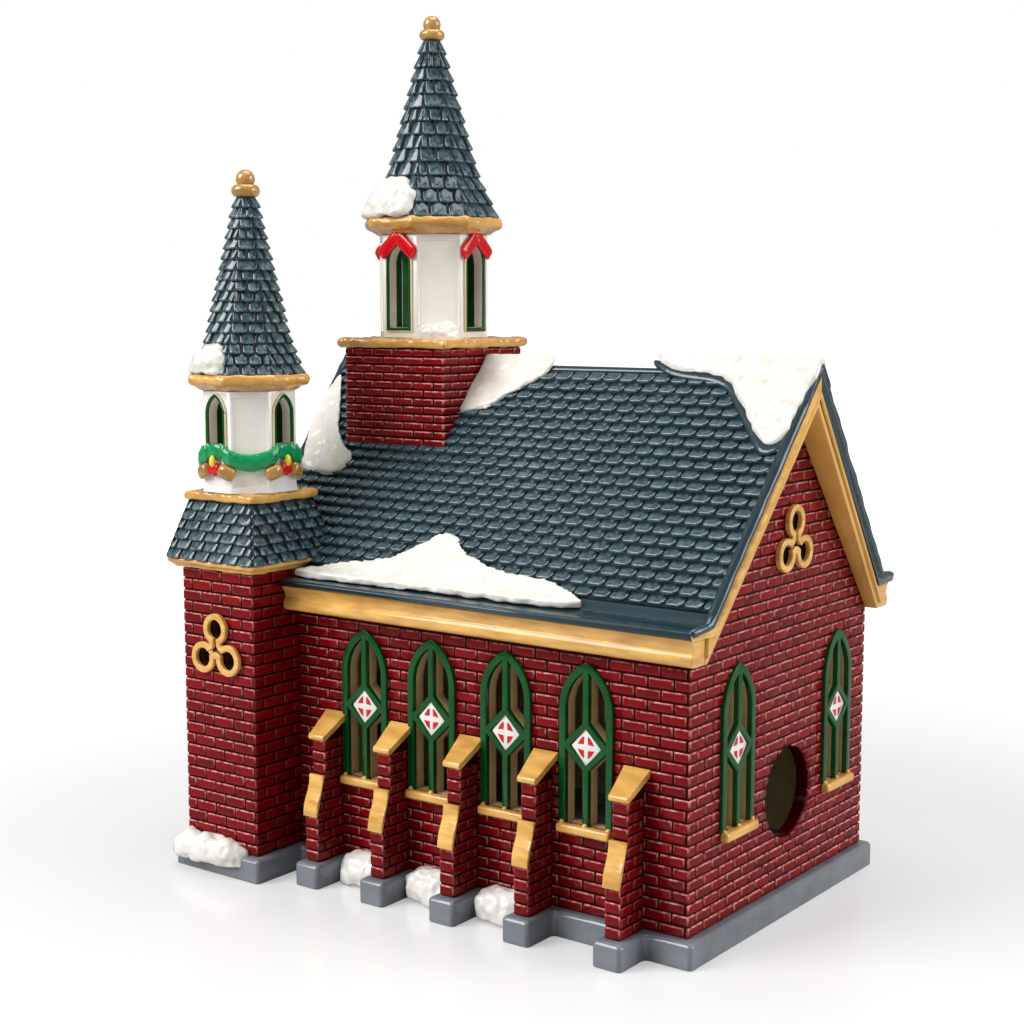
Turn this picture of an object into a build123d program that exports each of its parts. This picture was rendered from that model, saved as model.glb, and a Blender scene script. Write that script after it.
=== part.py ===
"""Glazed ceramic village church: brick nave, corner tower with turret, ridge steeple with belfry.

Millimetres, +Z up. X runs along the nave, and the gable with the lamp hole faces +X. The windowed
side beside the tower faces -Y. The origin is the middle of the nave's base, on the table.
"""
import os
from math import atan, cos, hypot, pi, radians, sin, sqrt, tan

from build123d import *

# Shared by every cut
overrun = 1.0

# Nave, walls and plinth
nave_length = 153.6
nave_width = 102.5
wall_height = 80.5
wall_thickness = 4.0
plinth_height = 7.2
plinth_reach = 2.7
plinth_corner_radius = 1.4
plinth_edge_chamfer = 0.9
floor_thickness = 3.0

# Main roof: steep slopes that break into a flatter ledge at the eaves
roof_rise = 63.0
ledge_rise = 1.1
kink_inset = 0.8
eave_reach = 8.4
eave_thickness = 2.2
roof_thickness = 3.9
roof_course_count = 23
roof_course_step = 0.9
eave_end_overhang = 5.6
ridge_end_overhang = 10.0

# Gold trim under the roof
fascia_height = 7.4
fascia_roll_height = 3.9
fascia_roll_reach = 6.3
fascia_neck_reach = 5.4
fascia_crown_reach = 7.3
rake_depth = 3.0
rake_setback = 1.6
rake_crown_depth = 1.2
rake_crown_reach = 0.9

# Buttresses
buttress_width = 5.3
buttress_lower_depth = 11.8
buttress_upper_depth = 8.4
lower_cap_lip = 0.5
lower_cap_thickness = 1.1
upper_cap_thickness = 1.9
upper_cap_lip = 0.7
upper_cap_wall_width = 8.2
upper_cap_nose_width = 5.7
foot_reach = 1.9

# Lancet windows of the nave
window_bay_spare = 2.77
window_proud = 0.8
medallion_recess = 0.4
medallion_thickness = 1.8
sill_thickness = 2.5
sill_reach = 2.6
sill_edge_radius = 0.8

# Lamp hole in the rear gable
lamp_hole_diameter = 26.0

# Trefoils
trefoil_lobe_offset = 6.0
trefoil_lobe_radius = 4.7
trefoil_rim = 1.8
trefoil_slot = 2.2
trefoil_proud = 1.5

# Front doorway
door_width = 22.0
door_jamb = 30.8
door_rise = 15.0
door_rim = 2.4
door_proud = 1.2
door_leaf_thickness = 2.4

# Tower at the front corner
tower_width = 29.9
tower_wall = 3.6
tower_forward = 13.5
tower_sideways = 18.9
tower_height = 85.1
tower_cornice_height = 3.1
tower_cornice_reach = 3.3
tower_cornice_neck_reach = 1.7
skirt_reach = 3.6
skirt_height = 17.2
skirt_top_half = 13.4
skirt_course_count = 6
tower_slab_half = 14.4
tower_slab_height = 2.8
slab_edge = 0.6

# Turret on the tower
turret_apothem = 13.6
turret_foot_flare = 0.5
turret_foot_rise = 1.8
turret_wall = 3.2
turret_reveal = 5.4
turret_height = 30.1
turret_cornice_height = 4.9
turret_cornice_apothem = 18.0
turret_spire_foot_apothem = 16.6
turret_spire_waist_apothem = 12.8
turret_spire_waist_rise = 10.0
turret_spire_tip_apothem = 3.4
turret_spire_height = 51.9
turret_course_count = 17
turret_finial_height = 8.0
turret_collar_radius = 4.2
turret_dome_radius = 2.8

# Steeple on the ridge
steeple_setback = 28.8
steeple_side_shift = 1.2
steeple_width = 39.7
steeple_rise = 3.4
steeple_slab_height = 3.1
steeple_slab_reach = 1.7
belfry_apothem = 16.2
belfry_wall = 3.6
belfry_reveal = 5.4
belfry_height = 31.5
belfry_cornice_height = 5.3
belfry_cornice_apothem = 21.0
belfry_spire_foot_apothem = 19.9
belfry_spire_waist_apothem = 14.2
belfry_spire_waist_rise = 12.2
belfry_spire_tip_apothem = 3.2
belfry_spire_height = 54.2
belfry_course_count = 13
belfry_finial_height = 7.3
belfry_collar_radius = 3.9
belfry_dome_radius = 2.7

# Shared by both drums and spires
lancet_rim = 1.3
lancet_proud = 0.7
panel_recess = 0.5
panel_side_margin = 0.6
panel_end_margin = 2.0
spire_course_step = 0.55
spire_butt_height = 0.2

# Ribbon bows, garland and its ornaments
bow_thickness = 1.5
bow_half_span = 7.6
bow_drop = 7.0
bow_top_gap = 0.4
garland_radius = 2.5
garland_gap = 0.2
garland_dip = 2.9
flower_half_width = 2.1
flower_half_height = 2.5
bud_radius = 1.4
bud_reach = 1.7
bell_length = 5.4
bell_radius = 2.2
bell_tilt_degrees = 20.0

# Snow
snow_depth = 2.2
tower_snow_radius = 4.4
turret_snow_radius = 5.0
belfry_snow_radius = 6.4
belfry_foot_snow_radius = 5.2

# Shares that shape outlines and set places along them
axis_turns = (0, 90, 180, 270)
ornament_side_count = 10
buttress_place_shares = (0.112, 0.296, 0.483, 0.67, 0.884)
buttress_lower_share = 0.171
lower_cap_rise_share = 0.149
buttress_upper_share = 0.129
upper_cap_rise_share = 0.067
window_bay_shares = (0.07, 0.07, 0.305, 0.31)
window_sill_share = 0.306
window_jamb_share = 0.392
window_rise_share = 0.164
diamond_place_share = 0.484
window_bar_share = 0.122
window_mullion_share = 0.111
diamond_height_share = 0.431
diamond_bar_share = 0.099
rear_centre_share = 0.051
rear_window_share = 0.574
lamp_hole_share = 0.337
gable_trefoil_share = 0.293
tower_trefoil_share = 0.723
lancet_width_shares = (0.763, 0.775)
lancet_sill_shares = (0.432, 0.06)
lancet_jamb_shares = (0.339, 0.648)
lancet_rise_shares = (0.213, 0.248)
flower_place_share = 0.179
bud_place_share = 0.266
bell_place_share = 0.153
bell_spread_share = 0.9
flower_reach_shares = (0.3, 0.75, 1, 0.8)
flower_height_shares = (0, 0.4, 0.75, 1)
bell_reach_shares = (0.55, 0.8, 1, 1, 0.7)
bell_height_shares = (0, 0.3, 0.65, 0.85, 1)
mound_reach_shares = (0.78, 1, 0.92, 0.68, 0.3)
mound_height_shares = (-0.62, 0, 0.4, 0.76, 0.98)
spire_snow_reach_share = 0.83
spire_snow_rise_share = 0.85
cornice_neck_share = 0.3
cornice_step_share = 0.55
cornice_height_shares = (0, 0.2, 0.34, 0.62, 0.84, 1)
cornice_reach_shares = (0.22, 0.46, 0.86, 1, 0.93, 0.8)
finial_neck_share = 0.8
finial_seat_share = 0.75
bow_tail_shares = ((0, 0), (0.14, 0), (1, 0.6), (0.72, 1), (0, 0.42))
tower_snow_place_shares = (-0.38, -0.1, 0.16)
buttress_snow_place_shares = (0.4, 0.66)
buttress_snow_radius_share = 0.29
snow_line_share = 0.7
spire_snow_degrees = (243, 273)
foot_snow_turn = 315
foot_snow_spread_shares = (-0.3, 0, 0.3)
eave_snow_shares = (
    (-0.004, 1.05), (0.065, 0.98), (0.157, 0.95), (0.237, 0.91), (0.283, 0.86),
    (0.352, 0.8), (0.398, 0.85), (0.478, 0.91), (0.576, 0.94), (0.679, 0.955),
    (0.748, 1.03), (0.69, 1.07), (0.547, 1.08), (0.335, 1.09), (0.14, 1.1),
)
rear_ridge_snow_shares = (
    (0.46, 0.01), (0.65, 0.06), (0.79, 0.1), (0.88, 0.2), (0.95, 0.28), (1.03, 0.35),
    (1.085, 0.31), (1.1, 0.21), (1.115, 0.09), (1.12, -0.05), (0.8, -0.08),
)
steeple_snow_shares = (
    (-0.42, 0.26), (-0.32, 0.25), (-0.23, 0.22), (-0.13, 0.14), (-0.02, 0.03),
    (-0.1, -0.06), (-0.42, -0.06),
)
front_rake_snow_shares = (
    (-1.07, 0.13), (-0.965, 0.33), (-0.85, 0.47), (-0.8, 0.5), (-0.83, 0.555),
    (-0.94, 0.575), (-1.035, 0.55), (-1.085, 0.43), (-1.11, 0.24),
)

# Worked out from the sizes above
half_length = nave_length / 2
half_width = nave_width / 2
inner_half_length = half_length - wall_thickness
inner_half_width = half_width - wall_thickness
eave_under_height = plinth_height + wall_height
eave_top_height = eave_under_height + eave_thickness
kink_height = eave_top_height + ledge_rise
ridge_height = kink_height + roof_rise
fascia_bottom_height = eave_under_height - fascia_height
fascia_neck_height = fascia_bottom_height + fascia_roll_height
kink_reach = half_width - kink_inset
eave_out = half_width + eave_reach
roof_slope = roof_rise / kink_reach
roof_pitch = atan(roof_slope)
attic_apex = ridge_height - roof_thickness / cos(roof_pitch)
attic_foot = (attic_apex - eave_under_height) / roof_slope
lower_cap_foot_height = plinth_height + buttress_lower_share * wall_height
lower_cap_head_height = lower_cap_foot_height + lower_cap_rise_share * wall_height
upper_cap_nose_height = lower_cap_head_height + buttress_upper_share * wall_height
upper_cap_wall_height = upper_cap_nose_height + upper_cap_rise_share * wall_height
window_sill_height = plinth_height + window_sill_share * wall_height
window_spring_height = window_sill_height + window_jamb_share * wall_height
window_rise = window_rise_share * wall_height
window_height = window_spring_height + window_rise - window_sill_height
diamond_height = window_sill_height + diamond_place_share * window_height
rear_centre_shift = rear_centre_share * half_width
lamp_hole_height = plinth_height + lamp_hole_share * wall_height
gable_trefoil_height = eave_under_height + gable_trefoil_share * (attic_apex - eave_under_height)
tower_trefoil_height = plinth_height + tower_trefoil_share * tower_height
door_spring_height = plinth_height + door_jamb
tower_x0 = -half_length - tower_forward
tower_x1 = tower_x0 + tower_width
tower_y0 = -half_width - tower_sideways
tower_y1 = tower_y0 + tower_width
tower_x = (tower_x0 + tower_x1) / 2
tower_y = (tower_y0 + tower_y1) / 2
tower_cornice_foot = plinth_height + tower_height
tower_cornice_head = tower_cornice_foot + tower_cornice_height
skirt_head = tower_cornice_head + skirt_height
turret_foot = skirt_head + tower_slab_height
turret_head = turret_foot + turret_height
turret_cornice_head = turret_head + turret_cornice_height
turret_spire_waist_height = turret_cornice_head + turret_spire_waist_rise
turret_spire_tip_height = turret_cornice_head + turret_spire_height
turret_flat = 2 * turret_apothem * tan(pi / 8)
turret_lancet_sill = turret_foot + lancet_sill_shares[0] * turret_height
garland_top_height = turret_lancet_sill - garland_gap - garland_radius
steeple_x = -half_length + steeple_setback
steeple_y = -steeple_side_shift
steeple_half = steeple_width / 2
steeple_head = ridge_height + steeple_rise
belfry_foot = steeple_head + steeple_slab_height
belfry_head = belfry_foot + belfry_height
belfry_cornice_head = belfry_head + belfry_cornice_height
belfry_spire_waist_height = belfry_cornice_head + belfry_spire_waist_rise
belfry_spire_tip_height = belfry_cornice_head + belfry_spire_height
free_wall = half_length - tower_x1
buttress_places = [tower_x1 + share * free_wall for share in buttress_place_shares]
bay_starts = [place + buttress_width / 2 for place in buttress_places[:-1]]
bay_widths = [b - a - buttress_width for a, b in zip(buttress_places[:-1], buttress_places[1:])]
window_width = min(bay_widths) - window_bay_spare
window_bar = window_bar_share * window_width
window_mullion = window_mullion_share * window_width
diamond_half_height = diamond_height_share * window_width
diamond_bar = diamond_bar_share * window_width
window_places = []
for start, bay, share in zip(bay_starts, bay_widths, window_bay_shares):
    window_places.append(start + window_width / 2 + share * (bay - window_width))
rear_window_spread = rear_window_share * half_width
rear_window_places = [rear_centre_shift - rear_window_spread, rear_centre_shift + rear_window_spread]

# Outer faces of the walls: local x along the wall, local y up, normal outwards
near_face = Plane(origin=(0, -half_width, 0), x_dir=(1, 0, 0), z_dir=(0, -1, 0))
far_face = Plane(origin=(0, half_width, 0), x_dir=(-1, 0, 0), z_dir=(0, 1, 0))
rear_face = Plane(origin=(half_length, 0, 0), x_dir=(0, 1, 0), z_dir=(1, 0, 0))
front_face = Plane(origin=(-half_length, 0, 0), x_dir=(0, -1, 0), z_dir=(-1, 0, 0))
tower_near_face = Plane(origin=(tower_x, tower_y0, 0), x_dir=(1, 0, 0), z_dir=(0, -1, 0))
tower_front_face = Plane(origin=(tower_x0, tower_y, 0), x_dir=(0, -1, 0), z_dir=(-1, 0, 0))


def moved(plane, along, up=0):
    """Plane shifted in its own plane."""
    return Plane(plane * Pos(along, up))


def block(x0, x1, y0, y1, z0, z1):
    """Box between two corners."""
    centre = Pos((x0 + x1) / 2, (y0 + y1) / 2, (z0 + z1) / 2)
    return centre * Box(x1 - x0, y1 - y0, z1 - z0)


def outline(points):
    """Flat face inside a closed run of points."""
    return make_face(Polyline(*points, close=True))


def section_along_x(face, x0, x1):
    """Solid swept along X from a face drawn in Y (local x) and Z (local y)."""
    return extrude(Plane.YZ.offset(x0) * face, amount=x1 - x0)


def polygon(side_count, apothem):
    """Regular polygon with flats square to the axes."""
    half_turn = pi / side_count
    radius = apothem / cos(half_turn)
    corners = [half_turn * (2 * k + 1) for k in range(side_count)]
    return outline([(radius * cos(a), radius * sin(a)) for a in corners])


def stack(side_count, sections, x, y):
    """Solid lofted straight through level polygons given as (height, apothem)."""
    faces = [Pos(x, y, height) * polygon(side_count, apothem) for height, apothem in sections]
    return loft(faces, ruled=True)


def coursed_stack(side_count, profile, course_count, x, y):
    """Shingled roof on a polygon: each course starts proud of the head of the one below."""
    foot = profile[0][0]
    head = profile[-1][0]
    heights = [foot + (head - foot) * k / course_count for k in range(course_count + 1)]
    sections = []
    for lower, upper in zip(heights[:-1], heights[1:]):
        sections.append((lower, apothem_at(profile, lower) + spire_course_step))
        sections.append((upper - spire_butt_height, apothem_at(profile, upper)))
    sections.append((head, apothem_at(profile, head)))
    return stack(side_count, sections, x, y)


def apothem_at(profile, height):
    """Apothem of a broken-line profile at a height."""
    for (z0, a0), (z1, a1) in zip(profile[:-1], profile[1:]):
        if height <= z1:
            return a0 + (a1 - a0) * (height - z0) / (z1 - z0)
    return profile[-1][1]


def lancet(half, sill, spring, centre_offset):
    """Pointed arch whose two arcs are struck from the spring line, centre_offset inside each jamb."""
    radius = half + centre_offset
    apex = spring + sqrt(radius ** 2 - centre_offset ** 2)
    half_angle = atan((apex - spring) / centre_offset) / 2
    shoulder_x = radius * cos(half_angle) - centre_offset
    shoulder_y = spring + radius * sin(half_angle)
    edges = [
        Line((-half, spring), (-half, sill)),
        Line((-half, sill), (half, sill)),
        Line((half, sill), (half, spring)),
        ThreePointArc((half, spring), (shoulder_x, shoulder_y), (0, apex)),
        ThreePointArc((0, apex), (-shoulder_x, shoulder_y), (-half, spring)),
    ]
    return make_face(edges)


def lancet_centre_offset(half, rise):
    """How far the arc centres lie past the middle for a given rise."""
    return (half ** 2 + rise ** 2) / (2 * half) - half


def diamond(half_x, half_y, height):
    """Upright rhombus centred at a height."""
    return outline([(half_x, height), (0, height + half_y), (-half_x, height), (0, height - half_y)])


def trefoil(radius, slot):
    """Three lobes about a centre, joined to it by slots."""
    shape = Circle(slot)
    for angle in (90, 210, 330):
        arm = Rot(0, 0, angle) * Pos(trefoil_lobe_offset / 2, 0) * Rectangle(trefoil_lobe_offset, slot)
        lobe = Rot(0, 0, angle) * Pos(trefoil_lobe_offset, 0) * Circle(radius)
        shape = shape + arm + lobe
    return shape


# Cutters that several pieces share
tower_prism = block(tower_x0, tower_x1, tower_y0, tower_y1, 0, belfry_spire_tip_height)
window_half = window_width / 2
window_offset = lancet_centre_offset(window_half, window_rise)
window_outline = lancet(window_half, window_sill_height, window_spring_height, window_offset)
trefoil_hole = trefoil(trefoil_lobe_radius - trefoil_rim, trefoil_slot / 2)
door_half = door_width / 2
door_offset = lancet_centre_offset(door_half, door_rise)
door_outline = lancet(door_half, plinth_height, door_spring_height, door_offset)
door_opening = lancet(door_half - door_rim, plinth_height, door_spring_height, door_offset)


def through(face_plane, shape, depth):
    """Cutter through a wall from just outside its face."""
    return extrude(face_plane.offset(overrun) * shape, amount=-depth - 2 * overrun)


def roof_plan(side, ridge_overhang, eave_overhang, reach):
    """Plan of one slope: longer at the ridge than at the eave."""
    ridge_x = half_length + ridge_overhang
    eave_x = half_length + eave_overhang
    points = [(-ridge_x, 0), (ridge_x, 0), (eave_x, side * reach), (-eave_x, side * reach)]
    return extrude(outline(points), amount=belfry_spire_tip_height)


def roof_envelope(side, raise_by):
    """Everything under one slope's shingle butts, raised square to the slope."""
    lift = raise_by / cos(roof_pitch)
    points = [
        (0, 0),
        (side * eave_out, 0),
        (side * eave_out, eave_top_height + raise_by),
        (side * kink_reach, kink_height + lift),
        (0, ridge_height + lift),
    ]
    reach = half_length + ridge_end_overhang
    body = section_along_x(outline(points), -reach, reach)
    return body & roof_plan(side, ridge_end_overhang, eave_end_overhang, eave_out)


def build_plinth():
    """Base slab with a foot under the tower and each buttress, pocketed under the nave."""
    foot_depth = half_width + buttress_lower_depth + plinth_reach
    foot_width = buttress_width + 2 * foot_reach
    tower_foot = tower_width + 2 * plinth_reach
    shape = Rectangle(nave_length + 2 * plinth_reach, nave_width + 2 * plinth_reach)
    shape = shape + Pos(tower_x, tower_y) * Rectangle(tower_foot, tower_foot)
    for place in buttress_places:
        shape = shape + Pos(place, 0) * Rectangle(foot_width, 2 * foot_depth)
    shape = fillet(shape.vertices(), plinth_corner_radius)
    slab = extrude(shape, amount=plinth_height)
    slab = chamfer(slab.edges().group_by(Axis.Z)[-1], plinth_edge_chamfer)
    pocket = block(-inner_half_length, inner_half_length, -inner_half_width, inner_half_width,
                   floor_thickness, plinth_height + overrun)
    return slab - (pocket - tower_prism)


def build_side_wall(face_plane, side):
    """Long wall between the gables with its window openings."""
    y0, y1 = sorted((side * inner_half_width, side * half_width))
    wall = block(-inner_half_length, inner_half_length, y0, y1, plinth_height, eave_under_height)
    for place in window_places:
        cutter = through(moved(face_plane, -side * place), window_outline, wall_thickness)
        wall = wall - cutter
    return wall - tower_prism


def gable_section():
    """Outline of a gable wall up to the underside of the roof."""
    return outline([
        (-half_width, plinth_height),
        (half_width, plinth_height),
        (half_width, eave_under_height),
        (attic_foot, eave_under_height),
        (0, attic_apex),
        (-attic_foot, eave_under_height),
        (-half_width, eave_under_height),
    ])


def build_rear_gable():
    """Gable with two windows, the trefoil and the round lamp hole."""
    wall = section_along_x(gable_section(), inner_half_length, half_length)
    for place in rear_window_places:
        wall = wall - through(moved(rear_face, place), window_outline, wall_thickness)
    centre = moved(rear_face, rear_centre_shift, gable_trefoil_height)
    wall = wall - through(centre, trefoil_hole, wall_thickness)
    hole = moved(rear_face, rear_centre_shift, lamp_hole_height)
    return wall - through(hole, Circle(lamp_hole_diameter / 2), wall_thickness)


def build_front_gable():
    """Gable with the doorway and the trefoil, stopped against the tower."""
    wall = section_along_x(gable_section(), -half_length, -inner_half_length)
    wall = wall - through(front_face, door_opening, wall_thickness)
    centre = moved(front_face, 0, gable_trefoil_height)
    return wall - through(centre, trefoil_hole, wall_thickness) - tower_prism


def build_roof_slope(side):
    """Slope with stepped shingle courses and the smooth rounded ledge at the eave."""
    normal_y = sin(roof_pitch) * roof_course_step
    normal_z = cos(roof_pitch) * roof_course_step
    lip_radius = (eave_top_height - eave_under_height) / 2
    lip_y = side * (eave_out - lip_radius)
    points = [(0, attic_apex), (0, ridge_height - roof_course_step / cos(roof_pitch))]
    for course in range(1, roof_course_count + 1):
        share = course / roof_course_count
        butt_y = share * kink_reach
        butt_z = ridge_height - share * (ridge_height - kink_height)
        points.append((side * butt_y, butt_z))
        points.append((side * (butt_y - normal_y), butt_z - normal_z))
    points.append((lip_y, eave_top_height))
    nose = (side * eave_out, eave_top_height - lip_radius)
    edges = [
        Polyline(*points),
        ThreePointArc((lip_y, eave_top_height), nose, (lip_y, eave_under_height)),
        Polyline((lip_y, eave_under_height), (side * attic_foot, eave_under_height), (0, attic_apex)),
    ]
    reach = half_length + ridge_end_overhang
    slab = section_along_x(make_face(edges), -reach, reach)
    slab = slab & roof_plan(side, ridge_end_overhang, eave_end_overhang, eave_out)
    return slab - tower_prism


def build_eave_fascia(side):
    """Moulded band under the eave: hollow crown over a rounded roll."""
    roll_middle = (fascia_bottom_height + fascia_neck_height) / 2
    crown_middle = (fascia_neck_height + eave_under_height) / 2
    crown_hollow = fascia_neck_reach + (fascia_crown_reach - fascia_neck_reach) / 3

    def at(reach, height):
        return (side * (half_width + reach), height)

    edges = [
        Line(at(0, eave_under_height), at(0, fascia_bottom_height)),
        Line(at(0, fascia_bottom_height), at(fascia_neck_reach, fascia_bottom_height)),
        ThreePointArc(
            at(fascia_neck_reach, fascia_bottom_height),
            at(fascia_roll_reach, roll_middle),
            at(fascia_neck_reach, fascia_neck_height),
        ),
        ThreePointArc(
            at(fascia_neck_reach, fascia_neck_height),
            at(crown_hollow, crown_middle),
            at(fascia_crown_reach, eave_under_height),
        ),
        Line(at(fascia_crown_reach, eave_under_height), at(0, eave_under_height)),
    ]
    reach = half_length + eave_end_overhang - rake_setback
    return section_along_x(make_face(edges), -reach, reach) - tower_prism


def rake_band(depth, setback):
    """Chevron under both slopes, as long as the roof less a setback."""
    drop = depth / cos(roof_pitch)
    foot = (attic_apex - drop - fascia_bottom_height) / roof_slope
    points = [
        (0, attic_apex),
        (attic_foot, eave_under_height),
        (half_width, eave_under_height),
        (half_width, fascia_bottom_height),
        (foot, fascia_bottom_height),
        (0, attic_apex - drop),
        (-foot, fascia_bottom_height),
        (-half_width, fascia_bottom_height),
        (-half_width, eave_under_height),
        (-attic_foot, eave_under_height),
    ]
    reach = half_length + ridge_end_overhang
    band = section_along_x(outline(points), -reach, reach)
    ridge = ridge_end_overhang - setback
    eave = eave_end_overhang - setback
    plan = roof_plan(1, ridge, eave, half_width) + roof_plan(-1, ridge, eave, half_width)
    return band & plan


def build_rake_trim(end):
    """Two gold boards that meet under the ridge at one gable, each with a prouder crown."""
    board = rake_band(rake_depth, rake_setback)
    board = board + rake_band(rake_crown_depth, rake_setback - rake_crown_reach)
    far_x = end * (half_length + ridge_end_overhang + overrun)
    x0, x1 = sorted((end * half_length, far_x))
    near_half = block(x0, x1, -half_width, 0, 0, ridge_height)
    far_half = block(x0, x1, 0, half_width, 0, ridge_height)
    return [(board & near_half) - tower_prism, board & far_half]


def buttress_section():
    """Side view of a pier, drawn outwards from the wall."""
    return outline([
        (0, plinth_height),
        (buttress_lower_depth, plinth_height),
        (buttress_lower_depth, lower_cap_foot_height),
        (buttress_upper_depth, lower_cap_head_height),
        (buttress_upper_depth, upper_cap_nose_height),
        (0, upper_cap_wall_height),
    ])


def lower_cap_section():
    """Weathering between the two stages, an S-curve on top."""
    foot = (buttress_lower_depth, lower_cap_foot_height)
    head = (buttress_upper_depth, lower_cap_head_height)
    lip = (buttress_lower_depth + lower_cap_lip, lower_cap_foot_height)
    top = (buttress_upper_depth + lower_cap_thickness, lower_cap_head_height)
    middle = (lower_cap_foot_height + lower_cap_head_height) / 2
    curve = Bezier(lip, (lip[0], middle), (top[0], middle), top)
    return make_face([Line(foot, lip), curve, Line(top, head), Line(head, foot)])


def upper_cap_section():
    """Sloped coping from the wall to a rounded nose."""
    nose_reach = buttress_upper_depth + upper_cap_lip
    nose_low = (nose_reach, upper_cap_nose_height)
    nose_top = (buttress_upper_depth, upper_cap_nose_height + upper_cap_thickness)
    bulge = (nose_reach + upper_cap_lip / 2, upper_cap_nose_height + upper_cap_thickness / 2)
    wall_low = (0, upper_cap_wall_height)
    wall_top = (0, upper_cap_wall_height + upper_cap_thickness)
    under = (buttress_upper_depth, upper_cap_nose_height)
    return make_face([
        Polyline(nose_top, wall_top, wall_low, under, nose_low),
        ThreePointArc(nose_low, bulge, nose_top),
    ])


def against_side_wall(section, width, place, side):
    """Solid of a side view, centred at a place along a long wall."""
    if side < 0:
        plane = Plane(origin=(place + width / 2, -half_width, 0), x_dir=(0, -1, 0), z_dir=(-1, 0, 0))
    else:
        plane = Plane(origin=(place - width / 2, half_width, 0), x_dir=(0, 1, 0), z_dir=(1, 0, 0))
    return extrude(plane * section, amount=width)


def build_buttress(place, side):
    """Brick pier of one buttress."""
    return against_side_wall(buttress_section(), buttress_width, place, side)


def build_buttress_caps(side):
    """Lower and upper caps of every buttress on one side, stopped against the window frames."""
    face_plane = near_face if side < 0 else far_face
    frames = []
    for place in window_places:
        plane = moved(face_plane, -side * place)
        frames.append(extrude(plane * window_outline, amount=window_proud))
    caps = []
    nose_reach = side * (half_width + buttress_upper_depth + 2 * upper_cap_lip)
    for place in buttress_places:
        caps.append(against_side_wall(lower_cap_section(), buttress_width, place, side))
        full = against_side_wall(upper_cap_section(), upper_cap_wall_width, place, side)
        flare = outline([
            (place - upper_cap_wall_width / 2, side * half_width),
            (place + upper_cap_wall_width / 2, side * half_width),
            (place + upper_cap_nose_width / 2, nose_reach),
            (place - upper_cap_nose_width / 2, nose_reach),
        ])
        cap = full & extrude(flare, amount=eave_under_height)
        for frame in frames:
            cap = cap - frame
        caps.append(cap)
    return caps


def diamond_sizes():
    """Half sizes of the diamond's outer edge and of the pane inside its bars."""
    outer_x = window_half - window_bar / 2
    inradius = outer_x * diamond_half_height / hypot(outer_x, diamond_half_height)
    pane_share = (inradius - diamond_bar) / inradius
    return outer_x, diamond_half_height, outer_x * pane_share, diamond_half_height * pane_share


def window_tracery():
    """Bars of a window: arch, mullion and the diamond that the medallion sits in."""
    outer_x, outer_y, pane_x, pane_y = diamond_sizes()
    light_half = window_half - window_bar
    light = lancet(light_half, window_sill_height - overrun, window_spring_height, window_offset)
    head = window_spring_height + window_rise - window_bar
    mullion_middle = (window_sill_height + head) / 2
    mullion = Pos(0, mullion_middle) * Rectangle(window_mullion, head - window_sill_height)
    bars = (window_outline - light) + mullion + diamond(outer_x, outer_y, diamond_height)
    return (bars & window_outline) - diamond(pane_x, pane_y, diamond_height)


def place_window(plane):
    """Tracery as deep as the wall, standing a little proud of its face."""
    return extrude(plane.offset(window_proud) * window_tracery(), amount=-wall_thickness - window_proud)


def place_medallion(plane):
    """Diamond pane set back inside the tracery."""
    pane_x, pane_y = diamond_sizes()[2:]
    front = plane.offset(window_proud - medallion_recess)
    return extrude(front * diamond(pane_x, pane_y, diamond_height), amount=-medallion_thickness)


def place_sill(plane):
    """Sill on the wall's face under a window, its outer edges rounded."""
    middle = window_sill_height - sill_thickness / 2
    sill = extrude(plane * (Pos(0, middle) * Rectangle(window_width, sill_thickness)), amount=sill_reach)
    outward = plane.z_dir
    axis = Axis((0, 0, 0), (outward.X, outward.Y, outward.Z))
    return fillet(sill.edges().group_by(axis)[-1], sill_edge_radius)


def place_trefoil(plane):
    """Raised rim round a trefoil opening."""
    rim = trefoil(trefoil_lobe_radius, trefoil_slot / 2 + trefoil_rim) - trefoil_hole
    return extrude(plane * rim, amount=trefoil_proud)


near_window_planes = [moved(near_face, place) for place in window_places]
far_window_planes = [moved(far_face, -place) for place in window_places]
rear_window_planes = [moved(rear_face, place) for place in rear_window_places]
all_window_planes = near_window_planes + far_window_planes + rear_window_planes


def build_tower_shaft():
    """Square brick tube with a trefoil in its near and front faces."""
    inset = tower_wall
    shaft = block(tower_x0, tower_x1, tower_y0, tower_y1, plinth_height, tower_cornice_foot)
    bore = block(tower_x0 + inset, tower_x1 - inset, tower_y0 + inset, tower_y1 - inset,
                 plinth_height - overrun, tower_cornice_foot + overrun)
    shaft = shaft - bore
    for plane in tower_trefoil_planes:
        shaft = shaft - through(plane, trefoil_hole, tower_wall)
    return shaft


def over_roof(piece):
    """What of a tower piece stays above the main roof."""
    return piece - roof_envelope(-1, 0)


def build_tower_cornice():
    """Gold band round the tower's head, stepped out from a narrower neck."""
    neck = tower_width / 2 + tower_cornice_neck_reach
    full = tower_width / 2 + tower_cornice_reach
    step_foot = tower_cornice_foot + tower_cornice_height * cornice_neck_share
    step_head = tower_cornice_foot + tower_cornice_height * cornice_step_share
    sections = [
        (tower_cornice_foot, neck),
        (step_foot, neck),
        (step_head, full),
        (tower_cornice_head, full),
    ]
    return over_roof(stack(4, sections, tower_x, tower_y))


def build_tower_skirt():
    """Shingled skirt roof between the tower and its cap slab."""
    profile = [(tower_cornice_head, tower_width / 2 + skirt_reach), (skirt_head, skirt_top_half)]
    return over_roof(coursed_stack(4, profile, skirt_course_count, tower_x, tower_y))


def build_slab(foot, head, half, x, y):
    """Square slab with eased edges."""
    eased = half - slab_edge
    sections = [(foot, eased), (foot + slab_edge, half), (head - slab_edge, half), (head, eased)]
    return stack(4, sections, x, y)


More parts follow.
